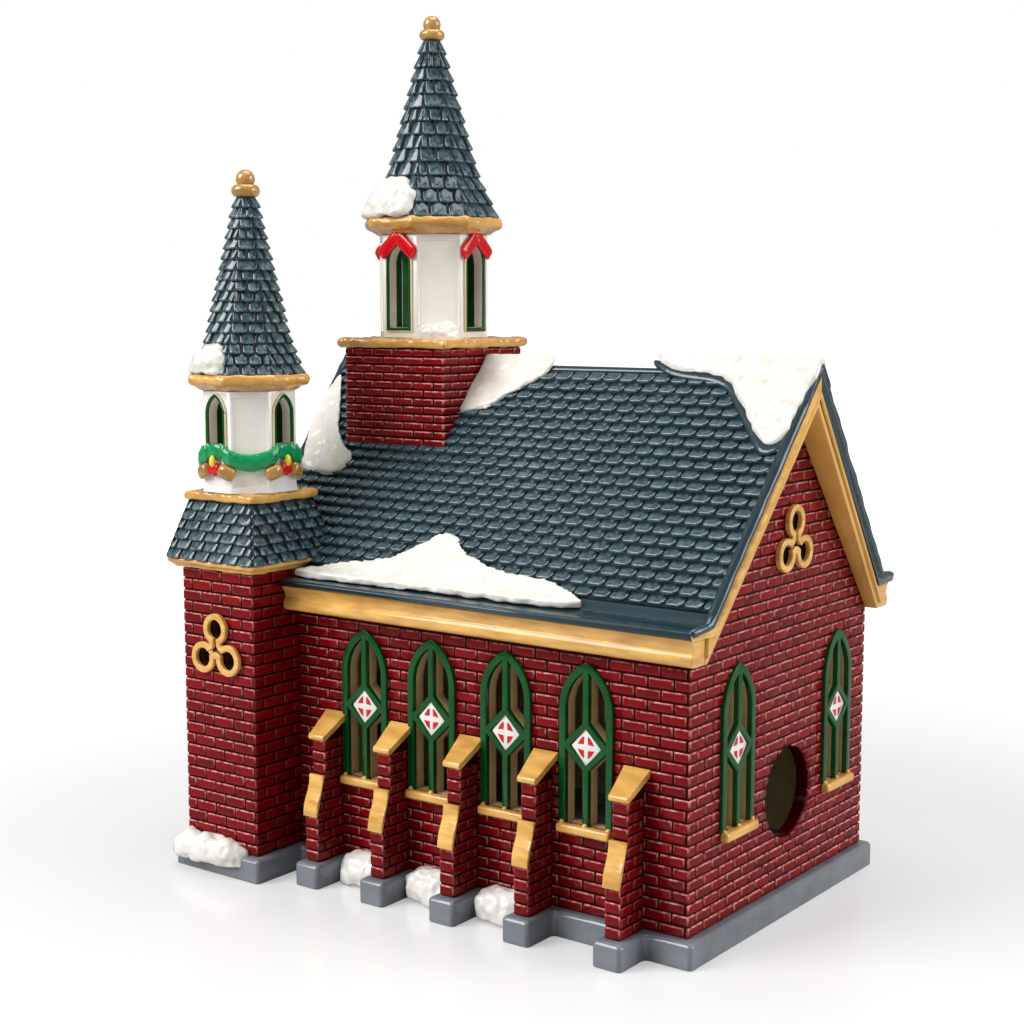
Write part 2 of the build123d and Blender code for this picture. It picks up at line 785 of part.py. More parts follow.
def drum_plane(x, y, apothem, degrees):
    """Plane on one flat of a drum: local x along it, local y up, normal outwards."""
    across = cos(radians(degrees))
    along = sin(radians(degrees))
    origin = (x + apothem * across, y + apothem * along, 0)
    return Plane(origin=origin, x_dir=(-along, across, 0), z_dir=(across, along, 0))


def drum_lancet(drum, apothem, foot, height):
    """Outer and inner outline of a drum's opening, as shares of its flat and height."""
    half = lancet_width_shares[drum] * apothem * tan(pi / 8)
    sill = foot + lancet_sill_shares[drum] * height
    spring = sill + lancet_jamb_shares[drum] * height
    offset = lancet_centre_offset(half, lancet_rise_shares[drum] * height)
    outer = lancet(half, sill, spring, offset)
    return outer, lancet(half - lancet_rim, sill + lancet_rim, spring, offset)


def sink_panels(body, x, y, apothem, foot, head):
    """Drum outline with a shallow panel sunk into each diagonal flat."""
    flat = 2 * apothem * tan(pi / 8)
    panel = Rectangle(flat - 2 * panel_side_margin, head - foot - 2 * panel_end_margin)
    for turn in axis_turns:
        diagonal = moved(drum_plane(x, y, apothem, turn + 45), 0, (foot + head) / 2)
        body = body - extrude(diagonal * panel, amount=-panel_recess)
    return body


def build_drum(body, x, y, apothem, wall, reveal, foot, head, opening):
    """Octagonal drum: thicker on the axes, where a lancet goes through each flat."""
    inner_width = 2 * (apothem - reveal)
    hollow = polygon(8, apothem - wall) & Rectangle(inner_width, inner_width)
    drum = body - extrude(Pos(x, y, foot) * hollow, amount=head - foot)
    for turn in axis_turns:
        drum = drum - through(drum_plane(x, y, apothem, turn), opening, reveal)
    return drum


def build_lancet_frames(x, y, apothem, ring):
    """Raised rims round the drum's four openings."""
    return [extrude(drum_plane(x, y, apothem, turn) * ring, amount=lancet_proud) for turn in axis_turns]


def build_drum_cornice(x, y, foot, head, inner, outer):
    """Octagonal moulding that swells out under a spire."""
    sections = []
    for height_share, reach_share in zip(cornice_height_shares, cornice_reach_shares):
        sections.append((foot + (head - foot) * height_share, inner + (outer - inner) * reach_share))
    return stack(8, sections, x, y)


def build_finial(x, y, foot, height, collar, dome):
    """Turned finial: rounded collar under a ball."""
    ball_centre = foot + height - dome
    neck = dome * finial_neck_share
    collar_head = ball_centre - sqrt(dome ** 2 - neck ** 2)
    seat = collar * finial_seat_share
    edges = [
        Polyline((0, foot + height), (0, foot), (seat, foot)),
        ThreePointArc((seat, foot), (collar, (foot + collar_head) / 2), (seat, collar_head)),
        Line((seat, collar_head), (neck, collar_head)),
        ThreePointArc((neck, collar_head), (dome, ball_centre), (0, foot + height)),
    ]
    return Pos(x, y, 0) * revolve(Plane.XZ * make_face(edges), Axis.Z)


def build_steeple_base():
    """Brick block astride the ridge, cut to both slopes."""
    body = block(steeple_x - steeple_half, steeple_x + steeple_half, steeple_y - steeple_half,
                 steeple_y + steeple_half, kink_height, steeple_head)
    return body - roof_envelope(-1, 0) - roof_envelope(1, 0)


def build_bow(plane):
    """Two ribbon tails that fall from a knot under the cornice."""
    top = belfry_head - bow_top_gap
    tails = None
    for hand in (-1, 1):
        tail = outline([(hand * u * bow_half_span, top - v * bow_drop) for u, v in bow_tail_shares])
        tails = tail if tails is None else tails + tail
    return extrude(plane.offset(lancet_proud) * tails, amount=bow_thickness)


def build_garland(drum_body):
    """Swags round the turret that hang between its four openings."""
    garland = None
    for turn in axis_turns:
        start = drum_plane(tower_x, tower_y, turret_apothem, turn).origin
        middle = drum_plane(tower_x, tower_y, turret_apothem, turn + 45).origin
        finish = drum_plane(tower_x, tower_y, turret_apothem, turn + 90).origin
        path = ThreePointArc(
            (start.X, start.Y, garland_top_height),
            (middle.X, middle.Y, garland_top_height - garland_dip),
            (finish.X, finish.Y, garland_top_height),
        )
        section = Plane(origin=path @ 0, z_dir=path % 0) * polygon(ornament_side_count, garland_radius)
        swag = sweep(section, path=path)
        garland = swag if garland is None else garland + swag
    return garland - drum_body


def turned(height_shares, reach_shares, height, radius):
    """Small turned form: level rings whose heights and radii are shares of its size."""
    rings = [(height * v, radius * u) for v, u in zip(height_shares, reach_shares)]
    return stack(ornament_side_count, rings, 0, 0)


def build_ornaments(drum_body, garland):
    """Flower, bud and two bells under each opening of the turret."""
    flowers = []
    buds = []
    bells = []
    upright = Rot(-90, 0, 0)
    for turn in axis_turns:
        spot = drum_plane(tower_x, tower_y, turret_apothem, turn).location
        flower_foot = turret_foot + flower_place_share * turret_height - flower_half_height
        flower = turned(flower_height_shares, flower_reach_shares, 2 * flower_half_height, flower_half_width)
        flower = spot * Pos(0, flower_foot) * upright * flower - drum_body - garland
        bud_middle = turret_foot + bud_place_share * turret_height
        bud = turned(mound_height_shares, mound_reach_shares, bud_radius, bud_radius)
        bud = spot * Pos(0, bud_middle, bud_reach) * upright * bud - drum_body - garland - flower
        flowers.append(flower)
        buds.append(bud)
        bell_spread = bell_spread_share * turret_flat / 2
        bell_middle = turret_foot + bell_place_share * turret_height
        for hand in (-1, 1):
            seat = spot * Pos(hand * bell_spread, bell_middle) * Rot(0, 0, -hand * bell_tilt_degrees)
            seat = seat * Rot(0, hand * 90, 0) * Pos(0, 0, -bell_length / 2)
            bell = seat * turned(bell_height_shares, bell_reach_shares, bell_length, bell_radius)
            bells.append(bell - drum_body - garland - flower)
    return flowers, buds, bells


def build_roof_snow(points):
    """Snow patch of even depth that follows the near slope and its ledge, and laps over the ridge."""
    patch = extrude(make_face(Spline(*points, periodic=True)), amount=belfry_spire_tip_height)
    layer = roof_envelope(-1, snow_depth) + roof_envelope(1, snow_depth)
    return (layer - roof_envelope(-1, 0) - roof_envelope(1, 0)) & patch


def roof_points(plan_shares):
    """Plan points from shares of the half length and of the slope's reach."""
    return [(u * half_length, -v * kink_reach) for u, v in plan_shares]


def eave_points():
    """Plan points of the eave's snow, from the tower's cornice to the rear."""
    start = tower_x1 + tower_cornice_reach
    return [(start + u * (half_length - start), -v * kink_reach) for u, v in eave_snow_shares]


def mound_row(centres, radius):
    """Run of rounded snow heaps fused together."""
    heap = None
    for centre in centres:
        mound = Pos(*centre) * turned(mound_height_shares, mound_reach_shares, radius, radius)
        heap = mound if heap is None else heap + mound
    return heap


def build_plinth_snow(plinth):
    """Heaps on the tower's foot and between the first buttress feet."""
    tower_line = tower_y0 - plinth_reach * snow_line_share
    tower_places = [tower_x + u * tower_width for u in tower_snow_place_shares]
    tower_heap = mound_row([(x, tower_line, plinth_height) for x in tower_places], tower_snow_radius)
    heaps = [tower_heap - plinth - tower_prism]
    wall_line = -half_width - plinth_reach * snow_line_share
    wall_block = block(-half_length, half_length, -half_width, half_width, 0, ridge_height)
    foot_half = buttress_width / 2 + foot_reach
    for left, right in zip(buttress_places[:3], buttress_places[1:4]):
        bay_start = left + foot_half
        bay = right - left - 2 * foot_half
        centres = [(bay_start + u * bay, wall_line, plinth_height) for u in buttress_snow_place_shares]
        heaps.append(mound_row(centres, buttress_snow_radius_share * bay) - wall_block - plinth)
    return heaps


def build_spire_snow(x, y, foot, apothem, radius, spire, cornice):
    """Clump at the foot of a spire, lying on its cornice."""
    centres = []
    reach = spire_snow_reach_share * apothem
    for degrees in spire_snow_degrees:
        angle = radians(degrees)
        height = foot + spire_snow_rise_share * radius
        centres.append((x + reach * cos(angle), y + reach * sin(angle), height))
    return mound_row(centres, radius) - spire - cornice


def build_foot_snow(drum_body):
    """Heap on the steeple's slab against one sunk panel of the belfry."""
    spot = drum_plane(steeple_x, steeple_y, belfry_apothem, foot_snow_turn)
    centres = []
    for share in foot_snow_spread_shares:
        place = spot.origin + spot.x_dir * (share * belfry_foot_snow_radius)
        centres.append((place.X, place.Y, belfry_foot))
    heap = mound_row(centres, belfry_foot_snow_radius) - drum_body
    return split(heap, bisect_by=Plane.XY.offset(belfry_foot), keep=Keep.TOP)


def export(name, pieces):
    """Write one node from a solid or a list of solids."""
    if not isinstance(pieces, list):
        pieces = [pieces]
    solids = [solid for piece in pieces for solid in piece.solids()]
    shape = solids[0] if len(solids) == 1 else Compound(solids)
    export_step(shape, f"parts/{name}.step")


tower_trefoil_planes = [
    moved(tower_near_face, 0, tower_trefoil_height),
    moved(tower_front_face, 0, tower_trefoil_height),
]
gable_trefoil_planes = [
    moved(rear_face, rear_centre_shift, gable_trefoil_height),
    moved(front_face, 0, gable_trefoil_height),
]

os.makedirs("parts", exist_ok=True)

# Nave
plinth = build_plinth()
export("plinth", plinth)
export("near_side_wall", build_side_wall(near_face, -1))
export("far_side_wall", build_side_wall(far_face, 1))
export("rear_gable_wall", build_rear_gable())
export("front_gable_wall", build_front_gable())
for number, place in enumerate(buttress_places, start=1):
    export(f"near_buttress_{number}", build_buttress(place, -1))
export("far_buttresses", [build_buttress(place, 1) for place in buttress_places])
export("near_buttress_caps", build_buttress_caps(-1))
export("far_buttress_caps", build_buttress_caps(1))
for number, plane in enumerate(near_window_planes, start=1):
    export(f"near_window_{number}", place_window(plane))
export("far_windows", [place_window(plane) for plane in far_window_planes])
export("rear_window_near", place_window(rear_window_planes[0]))
export("rear_window_far", place_window(rear_window_planes[1]))
export("window_medallions", [place_medallion(plane) for plane in all_window_planes])
export("window_sills", [place_sill(plane) for plane in all_window_planes])
export("gable_trefoils", [place_trefoil(plane) for plane in gable_trefoil_planes])
export("door_surround", extrude(front_face * (door_outline - door_opening), amount=door_proud))
door_leaf_edge = block(-half_length, -inner_half_length, 0, door_half, 0, ridge_height)
door_panel = extrude(front_face.offset(-door_leaf_thickness / 2) * door_opening, amount=-door_leaf_thickness)
export("door_leaves", [door_panel & door_leaf_edge, door_panel - door_leaf_edge])

# Roof and its trim
export("near_roof_slope", build_roof_slope(-1))
export("far_roof_slope", build_roof_slope(1))
export("near_eave_fascia", build_eave_fascia(-1))
export("far_eave_fascia", build_eave_fascia(1))
export("rear_rake_trim", build_rake_trim(1))
export("front_rake_trim", build_rake_trim(-1))

# Tower and turret
export("tower_shaft", build_tower_shaft())
export("tower_trefoils", [place_trefoil(plane) for plane in tower_trefoil_planes])
tower_cornice = build_tower_cornice()
export("tower_cornice", tower_cornice)
export("tower_skirt_roof", build_tower_skirt())
export("tower_cap_slab", build_slab(skirt_head, turret_foot, tower_slab_half, tower_x, tower_y))
turret_outline, turret_opening = drum_lancet(0, turret_apothem, turret_foot, turret_height)
turret_ring = turret_outline - turret_opening
turret_body = stack(8, [
    (turret_foot, turret_apothem + turret_foot_flare),
    (turret_foot + turret_foot_rise, turret_apothem),
    (turret_head, turret_apothem),
], tower_x, tower_y)
turret_garland = build_garland(turret_body)
turret_flowers, turret_buds, turret_bells = build_ornaments(turret_body, turret_garland)
turret_cornice = build_drum_cornice(tower_x, tower_y, turret_head, turret_cornice_head, turret_apothem,
                                    turret_cornice_apothem)
turret_spire = coursed_stack(8, [
    (turret_cornice_head, turret_spire_foot_apothem),
    (turret_spire_waist_height, turret_spire_waist_apothem),
    (turret_spire_tip_height, turret_spire_tip_apothem),
], turret_course_count, tower_x, tower_y)
turret_panelled = sink_panels(turret_body, tower_x, tower_y, turret_apothem, turret_foot, turret_head)
export("turret_drum", build_drum(turret_panelled, tower_x, tower_y, turret_apothem, turret_wall,
                                 turret_reveal, turret_foot, turret_head, turret_opening))
export("turret_lancet_frames", build_lancet_frames(tower_x, tower_y, turret_apothem, turret_ring))
export("turret_cornice", turret_cornice)
export("turret_spire", turret_spire)
export("turret_finial", build_finial(tower_x, tower_y, turret_spire_tip_height, turret_finial_height,
                                     turret_collar_radius, turret_dome_radius))
export("turret_garland", turret_garland)
export("turret_flowers", turret_flowers)
export("turret_buds", turret_buds)
export("turret_bells", turret_bells)

# Steeple and belfry
belfry_outline, belfry_opening = drum_lancet(1, belfry_apothem, belfry_foot, belfry_height)
belfry_ring = belfry_outline - belfry_opening
belfry_body = stack(8, [
    (belfry_foot, belfry_apothem),
    (belfry_head, belfry_apothem),
], steeple_x, steeple_y)
belfry_cornice = build_drum_cornice(steeple_x, steeple_y, belfry_head, belfry_cornice_head, belfry_apothem,
                                    belfry_cornice_apothem)
belfry_spire = coursed_stack(8, [
    (belfry_cornice_head, belfry_spire_foot_apothem),
    (belfry_spire_waist_height, belfry_spire_waist_apothem),
    (belfry_spire_tip_height, belfry_spire_tip_apothem),
], belfry_course_count, steeple_x, steeple_y)
steeple_base = build_steeple_base()
export("steeple_base", steeple_base)
steeple_slab_half = steeple_half + steeple_slab_reach
steeple_slab = build_slab(steeple_head, belfry_foot, steeple_slab_half, steeple_x, steeple_y)
export("steeple_cap_slab", steeple_slab)
belfry_panelled = sink_panels(belfry_body, steeple_x, steeple_y, belfry_apothem, belfry_foot, belfry_head)
export("belfry_drum", build_drum(belfry_panelled, steeple_x, steeple_y, belfry_apothem, belfry_wall,
                                 belfry_reveal, belfry_foot, belfry_head, belfry_opening))
export("belfry_lancet_frames", build_lancet_frames(steeple_x, steeple_y, belfry_apothem, belfry_ring))
export("belfry_cornice", belfry_cornice)
export("belfry_spire", belfry_spire)
export("belfry_finial", build_finial(steeple_x, steeple_y, belfry_spire_tip_height, belfry_finial_height,
                                     belfry_collar_radius, belfry_dome_radius))
bow_planes = [drum_plane(steeple_x, steeple_y, belfry_apothem, turn) for turn in axis_turns]
export("belfry_bows", [build_bow(plane) for plane in bow_planes])

# Snow
export("eave_snow", build_roof_snow(eave_points()) - tower_cornice)
export("rear_ridge_snow", build_roof_snow(roof_points(rear_ridge_snow_shares)))
export("steeple_snow", build_roof_snow(roof_points(steeple_snow_shares)) - steeple_base - steeple_slab)
export("front_rake_snow", build_roof_snow(roof_points(front_rake_snow_shares)) - steeple_base - steeple_slab)
export("plinth_snow", build_plinth_snow(plinth))
export("spire_snow", [
    build_spire_snow(tower_x, tower_y, turret_cornice_head, turret_spire_foot_apothem,
                     turret_snow_radius, turret_spire, turret_cornice),
    build_spire_snow(steeple_x, steeple_y, belfry_cornice_head, belfry_spire_foot_apothem,
                     belfry_snow_radius, belfry_spire, belfry_cornice),
    build_foot_snow(belfry_panelled),
])
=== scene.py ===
"""Glazed ceramic village church, dressed round its solid model."""

import logging
import math
import random
from dataclasses import dataclass, field
from enum import Enum
from typing import Callable, Sequence

import bmesh
import bpy
import numpy as np
from bpy.types import Material, Node, NodeSocket, NodeTree, Object
from mathutils import Matrix, Vector


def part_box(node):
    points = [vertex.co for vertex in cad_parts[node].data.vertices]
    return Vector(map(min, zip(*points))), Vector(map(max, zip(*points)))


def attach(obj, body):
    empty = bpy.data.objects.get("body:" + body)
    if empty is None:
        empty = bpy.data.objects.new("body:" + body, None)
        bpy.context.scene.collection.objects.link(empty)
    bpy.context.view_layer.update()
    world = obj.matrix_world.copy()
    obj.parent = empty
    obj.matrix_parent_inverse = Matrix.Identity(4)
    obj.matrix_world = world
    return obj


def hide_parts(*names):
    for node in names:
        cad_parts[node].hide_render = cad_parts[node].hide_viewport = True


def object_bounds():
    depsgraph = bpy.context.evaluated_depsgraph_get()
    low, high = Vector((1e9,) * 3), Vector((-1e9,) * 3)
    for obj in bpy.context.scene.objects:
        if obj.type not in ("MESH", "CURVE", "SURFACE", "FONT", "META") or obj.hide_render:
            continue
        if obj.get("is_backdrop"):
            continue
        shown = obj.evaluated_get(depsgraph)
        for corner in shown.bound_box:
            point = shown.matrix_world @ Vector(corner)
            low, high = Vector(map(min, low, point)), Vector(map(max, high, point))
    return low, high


LOG = logging.getLogger("church")
MM = 0.001
UP = Vector((0, 0, 1))
TOWER = (-75.35, -55.2)
STEEPLE = (-48.0, -1.2)
QUARTERS = (0, 90, 180, 270)
OCTANT = 45.0
MERGED = 0.004
CLOSED = 0.001
LEVEL = 1.0
FACING = 0.9
EDGEWISE = 0.5
EDGES = (False, True, False)
FACES = (False, False, True)
Point = tuple[float, float]
Triple = tuple[float, float, float]
Test = Callable[[Vector, Vector], bool]

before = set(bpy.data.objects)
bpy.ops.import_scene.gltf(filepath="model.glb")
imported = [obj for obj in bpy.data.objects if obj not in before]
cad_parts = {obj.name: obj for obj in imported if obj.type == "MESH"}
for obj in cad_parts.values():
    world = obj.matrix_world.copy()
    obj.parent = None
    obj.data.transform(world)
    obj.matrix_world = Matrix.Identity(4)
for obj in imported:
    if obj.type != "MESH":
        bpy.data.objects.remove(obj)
SOLID_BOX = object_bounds()


class Glaze(Enum):
    """Glaze names, listed beside some pieces; the script reads them nowhere."""

    GREY = "grey_glaze"
    BRICK = "brick_glaze"
    SLATE = "slate_glaze"
    GOLD = "gold_glaze"
    GREEN = "green_glaze"
    WHITE = "white_glaze"
    EMERALD = "emerald_glaze"
    RED = "red_glaze"
    YELLOW = "yellow_glaze"


# Places and directions


def middle_of(node: str) -> Point:
    """Middle of a solid's box on plan, in millimetres."""
    low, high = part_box(node)
    return (low[0] + high[0]) / 2 / MM, (low[1] + high[1]) / 2 / MM


def compass(degrees: float) -> tuple[Vector, Vector]:
    """Unit vectors on plan: outwards in a direction, and to its left."""
    out = Vector((math.cos(math.radians(degrees)), math.sin(math.radians(degrees)), 0))
    return out, UP.cross(out)


def hang(along: Vector, degrees: float) -> Vector:
    """Unit vector down a wall, turned by an angle towards one side."""
    return along * math.sin(math.radians(degrees)) - UP * math.cos(math.radians(degrees))


def basis(x: Vector, y: Vector, z: Vector, origin: Vector) -> Matrix:
    """Matrix of three axes at a place in millimetres.

    Args:
        x: First axis.
        y: Second axis.
        z: Third axis.
        origin: The place.

    Returns:
        The matrix, in metres.
    """
    matrix = Matrix((x, y, z)).transposed().to_4x4()
    matrix.translation = origin * MM
    return matrix


def face_matrix(origin: Vector, normal: Vector) -> Matrix:
    """Matrix of a wall face: x along it, y up it, z outwards."""
    along = UP.cross(normal)
    return basis(along, normal.cross(along), normal, origin)


def lancet(half: float, sill: float, spring: float, rise: float, steps: int = 9) -> list[Point]:
    """Pointed arch as a run of corners, counter-clockwise from the lower left.

    Args:
        half: Half width.
        sill: Height of its foot.
        spring: Height where the arcs start.
        rise: Height of the arcs.
        steps: Corners on each arc.

    Returns:
        The corners.
    """
    offset = (half ** 2 + rise ** 2) / (2 * half) - half
    radius = half + offset
    top = math.atan2(rise, offset)
    arc = [(radius * math.cos(top * k / steps) - offset, spring + radius * math.sin(top * k / steps))
           for k in range(steps + 1)]
    return [(-half, sill), (half, sill)] + arc + [(-x, z) for x, z in arc[-2::-1]]


# Working on meshes


def only(obj: Object) -> None:
    """Leave one object selected and active, in object mode.

    Args:
        obj: The object.
    """
    if bpy.context.mode != "OBJECT":
        bpy.ops.object.mode_set(mode="OBJECT")
    bpy.ops.object.select_all(action="DESELECT")
    obj.select_set(True)
    bpy.context.view_layer.objects.active = obj


def edit(obj: Object, mode: tuple[bool, bool, bool] = EDGES) -> bmesh.types.BMesh:
    """Open an object in edit mode with nothing selected.

    Args:
        obj: Object to open.
        mode: Which of points, edges and faces are picked.

    Returns:
        The mesh that is being edited.
    """
    only(obj)
    bpy.ops.object.mode_set(mode="EDIT")
    bpy.context.tool_settings.mesh_select_mode = mode
    bpy.ops.mesh.select_all(action="DESELECT")
    return bmesh.from_edit_mesh(obj.data)


def pick(obj: Object, items: Sequence, test: Callable) -> None:
    """Select what passes a test among the edges or faces being edited.

    Args:
        obj: Object in edit mode.
        items: Its edges or faces.
        test: What they have to pass.
    """
    for item in items:
        item.select_set(bool(test(item)))
    bmesh.update_edit_mesh(obj.data)


def on_all(obj: Object, *steps: tuple[Callable, dict], mode: tuple[bool, bool, bool] = EDGES) -> None:
    """Run edit operators in turn, each on the whole mesh.

    Args:
        obj: Object to change.
        steps: Operators with their settings.
        mode: Which of points, edges and faces are picked.
    """
    edit(obj, mode)
    for operator, settings in steps:
        bpy.ops.mesh.select_all(action="SELECT")
        operator(**settings)
    bpy.ops.object.mode_set(mode="OBJECT")


def slice_at(obj: Object, place: Vector, normal: Vector) -> None:
    """Cut an edge loop into a mesh along a plane."""
    on_all(obj, (bpy.ops.mesh.bisect, {"plane_co": place, "plane_no": normal}))


def modify(obj: Object, kind: str, **settings: object) -> None:
    """Add a modifier, set it and apply it.

    Args:
        obj: Object to change.
        kind: Modifier type.
        settings: Its values by name.
    """
    only(obj)
    modifier = obj.modifiers.new(kind.lower(), kind)
    for name, value in settings.items():
        setattr(modifier, name, value)
    bpy.ops.object.modifier_apply(modifier=modifier.name)


def bevel(obj: Object, width: float, segments: int = 3, degrees: float = 28.0) -> None:
    """Round the edges that are sharper than an angle."""
    modify(obj, "BEVEL", width=width * MM, segments=segments, limit_method="ANGLE",
           angle_limit=math.radians(degrees))


def melt(obj: Object, voxel: float, factor: float, rounds: int) -> None:
    """Turn a piece into one even skin and smooth it."""
    modify(obj, "REMESH", mode="VOXEL", voxel_size=voxel * MM)
    modify(obj, "SMOOTH", factor=factor, iterations=rounds)


def lumps(obj: Object, grain: float, height: float, level: float, octaves: int = 2) -> None:
    """Push a skin out and in by soft noise.

    Args:
        obj: Object to change.
        grain: Size of the lumps in millimetres.
        height: Their height in millimetres.
        level: Noise value that stays in place.
        octaves: Layers of noise.
    """
    texture = bpy.data.textures.new(obj.name, "CLOUDS")
    texture.noise_scale = grain * MM
    texture.noise_depth = octaves
    modify(obj, "DISPLACE", texture=texture, texture_coords="LOCAL", mid_level=level, strength=height * MM)


def keep_inside(obj: Object, inset: float = 0.0) -> None:
    """Keep a piece inside the solids' box.

    Args:
        obj: The piece.
        inset: How far inside the box it stays along X, in millimetres.
    """
    low, high = (Vector(corner) for corner in SOLID_BOX)
    low.x, high.x = low.x + inset * MM, high.x - inset * MM
    for vertex in obj.data.vertices:
        for axis in range(3):
            vertex.co[axis] = min(max(vertex.co[axis], low[axis]), high[axis])


def new_object(name: str, data: bpy.types.ID) -> Object:
    """Put a new object into the scene.

    Args:
        name: Name of the object.
        data: Its mesh, lamp or camera.

    Returns:
        The object.
    """
    obj = bpy.data.objects.new(name, data)
    bpy.context.scene.collection.objects.link(obj)
    return obj


def placed(source: Object, matrix: Matrix) -> Object:
    """Copy of an object's mesh at a place.

    Args:
        source: Object whose mesh is copied.
        matrix: The place.

    Returns:
        The new object.
    """
    obj = new_object(source.name, source.data.copy())
    obj.data.transform(matrix)
    return obj


def primitive(kind: str, name: str, **settings: object) -> Object:
    """Add a mesh primitive as a new object.

    Args:
        kind: Kind of primitive.
        name: Name of the object.
        settings: Sizes of the primitive.

    Returns:
        The object.
    """
    getattr(bpy.ops.mesh, f"primitive_{kind}_add")(**settings)
    bpy.context.object.name = name
    return bpy.context.object


def node_copy(node: str, ending: str) -> Object:
    """Copy a solid's mesh with its loose triangles joined up.

    Args:
        node: Name of the solid.
        ending: What the new object's name adds to it.

    Returns:
        The new object, at the origin.
    """
    obj = new_object(node + ending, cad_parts[node].data.copy())
    obj.data.materials.clear()
    on_all(obj, (bpy.ops.mesh.remove_doubles, {"threshold": MERGED * MM}),
           (bpy.ops.mesh.dissolve_limited, {"angle_limit": math.radians(LEVEL)}))
    return obj


def loose_parts(obj: Object) -> list[Object]:
    """Split an object into one object for each loose part."""
    on_all(obj, (bpy.ops.mesh.separate, {"type": "LOOSE"}))
    return list(bpy.context.selected_objects)


def prism(name: str, outline: Sequence[Point], depth: float) -> Object:
    """Straight block of a flat outline, in millimetres, from z = 0 to its depth.

    Args:
        name: Name of the new object.
        outline: Corners in order.
        depth: Height of the block.

    Returns:
        The new object.
    """
    mesh = bpy.data.meshes.new(name)
    mesh.from_pydata([(x * MM, y * MM, 0.0) for x, y in outline], [], [tuple(range(len(outline)))])
    obj = new_object(name, mesh)
    on_all(obj, (bpy.ops.mesh.extrude_region_move, {"TRANSFORM_OT_translate": {"value": (0, 0, depth * MM)}}),
           (bpy.ops.mesh.normals_make_consistent, {"inside": False}), mode=FACES)
    return obj


def swept(name: str, rings: Sequence[Sequence[Vector]]) -> Object:
    """Closed piece through rings of points.

    Args:
        name: Name of the new object.
        rings: Rings of equally many points, in millimetres.

    Returns:
        The new object.
    """
    along, around = len(rings) - 1, len(rings[0])
    obj = primitive("grid", name, x_subdivisions=along, y_subdivisions=around, size=1)
    for vertex in obj.data.vertices:
        ring = rings[round((vertex.co.x + 0.5) * along)]
        vertex.co = ring[round((vertex.co.y + 0.5) * around) % around] * MM
    on_all(obj, (bpy.ops.mesh.remove_doubles, {"threshold": CLOSED * MM}),
           (bpy.ops.mesh.fill_holes, {"sides": 0}),
           (bpy.ops.mesh.normals_make_consistent, {"inside": False}))
    return obj


def pebble(name: str, place: Vector, size: Triple, out: Vector, axis: Vector, square: float = 1.0) -> Object:
    """Rounded lump lying on a wall.

    Args:
        name: Name of the new object.
        place: Its middle in millimetres.
        size: Half its breadth, thickness and length.
        out: Direction of its thickness.
        axis: Direction of its length.
        square: Below 1 its ends and sides are blunt.

    Returns:
        The new object.
    """
    obj = primitive("uv_sphere", name, segments=20, ring_count=14, radius=1.0)
    for vertex in obj.data.vertices:
        vertex.co.x = math.copysign(abs(vertex.co.x) ** square, vertex.co.x)
        vertex.co.z = math.copysign(abs(vertex.co.z) ** square, vertex.co.z)
    scale = Matrix.Diagonal((*(half * MM for half in size), 1))
    obj.data.transform(basis(out.cross(axis), out, axis, place) @ scale)
    return obj


def join(first: Object, *others: Object, name: str | None = None) -> Object:
    """Merge objects into the first one.

    Args:
        first: Object that takes the others.
        others: Objects to merge.
        name: Its new name, if it gets one.

    Returns:
        The first object.
    """
    only(first)
    for other in others:
        other.select_set(True)
    bpy.ops.object.join()
    first.name = name or first.name
    return first


def paint(obj: Object, slot: int, test: Test | None = None) -> None:
    """Give faces a material slot.

    Args:
        obj: Object to paint.
        slot: The slot.
        test: What a face's middle and normal have to pass, if anything.
    """
    for face in obj.data.polygons:
        if test is None or test(face.center, face.normal):
            face.material_index = slot


def settle(obj: Object, node: str, degrees: float = 40.0) -> None:
    """Shade a finished piece and fix it to the church.

    Args:
        obj: Finished piece.
        node: Solid that it stands for.
        degrees: Edges sharper than this stay sharp.
    """
    only(obj)
    bpy.ops.object.shade_smooth_by_angle(angle=math.radians(degrees))
    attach(obj, "root")
    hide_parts(node)
    LOG.info("%s: %d faces", obj.name, len(obj.data.polygons))


# Forms laid down many times


@dataclass
class Stamp:
    """Small form modelled once: x along, y up, z outwards, in metres."""

    points: np.ndarray
    faces: list[tuple[int, ...]]
    edge: np.ndarray
    length: float
    height: float

    def stretched(self, length: float, height: float) -> np.ndarray:
        """Points for another size, the ends kept as they are.

        Args:
            length: New length in metres.
            height: New height in metres.

        Returns:
            The points.
        """
        points = self.points.copy()
        for axis, size, own in ((0, length, self.length), (1, height, self.height)):
            points[:, axis] += np.sign(points[:, axis]) * (size - own) / 2
        return points


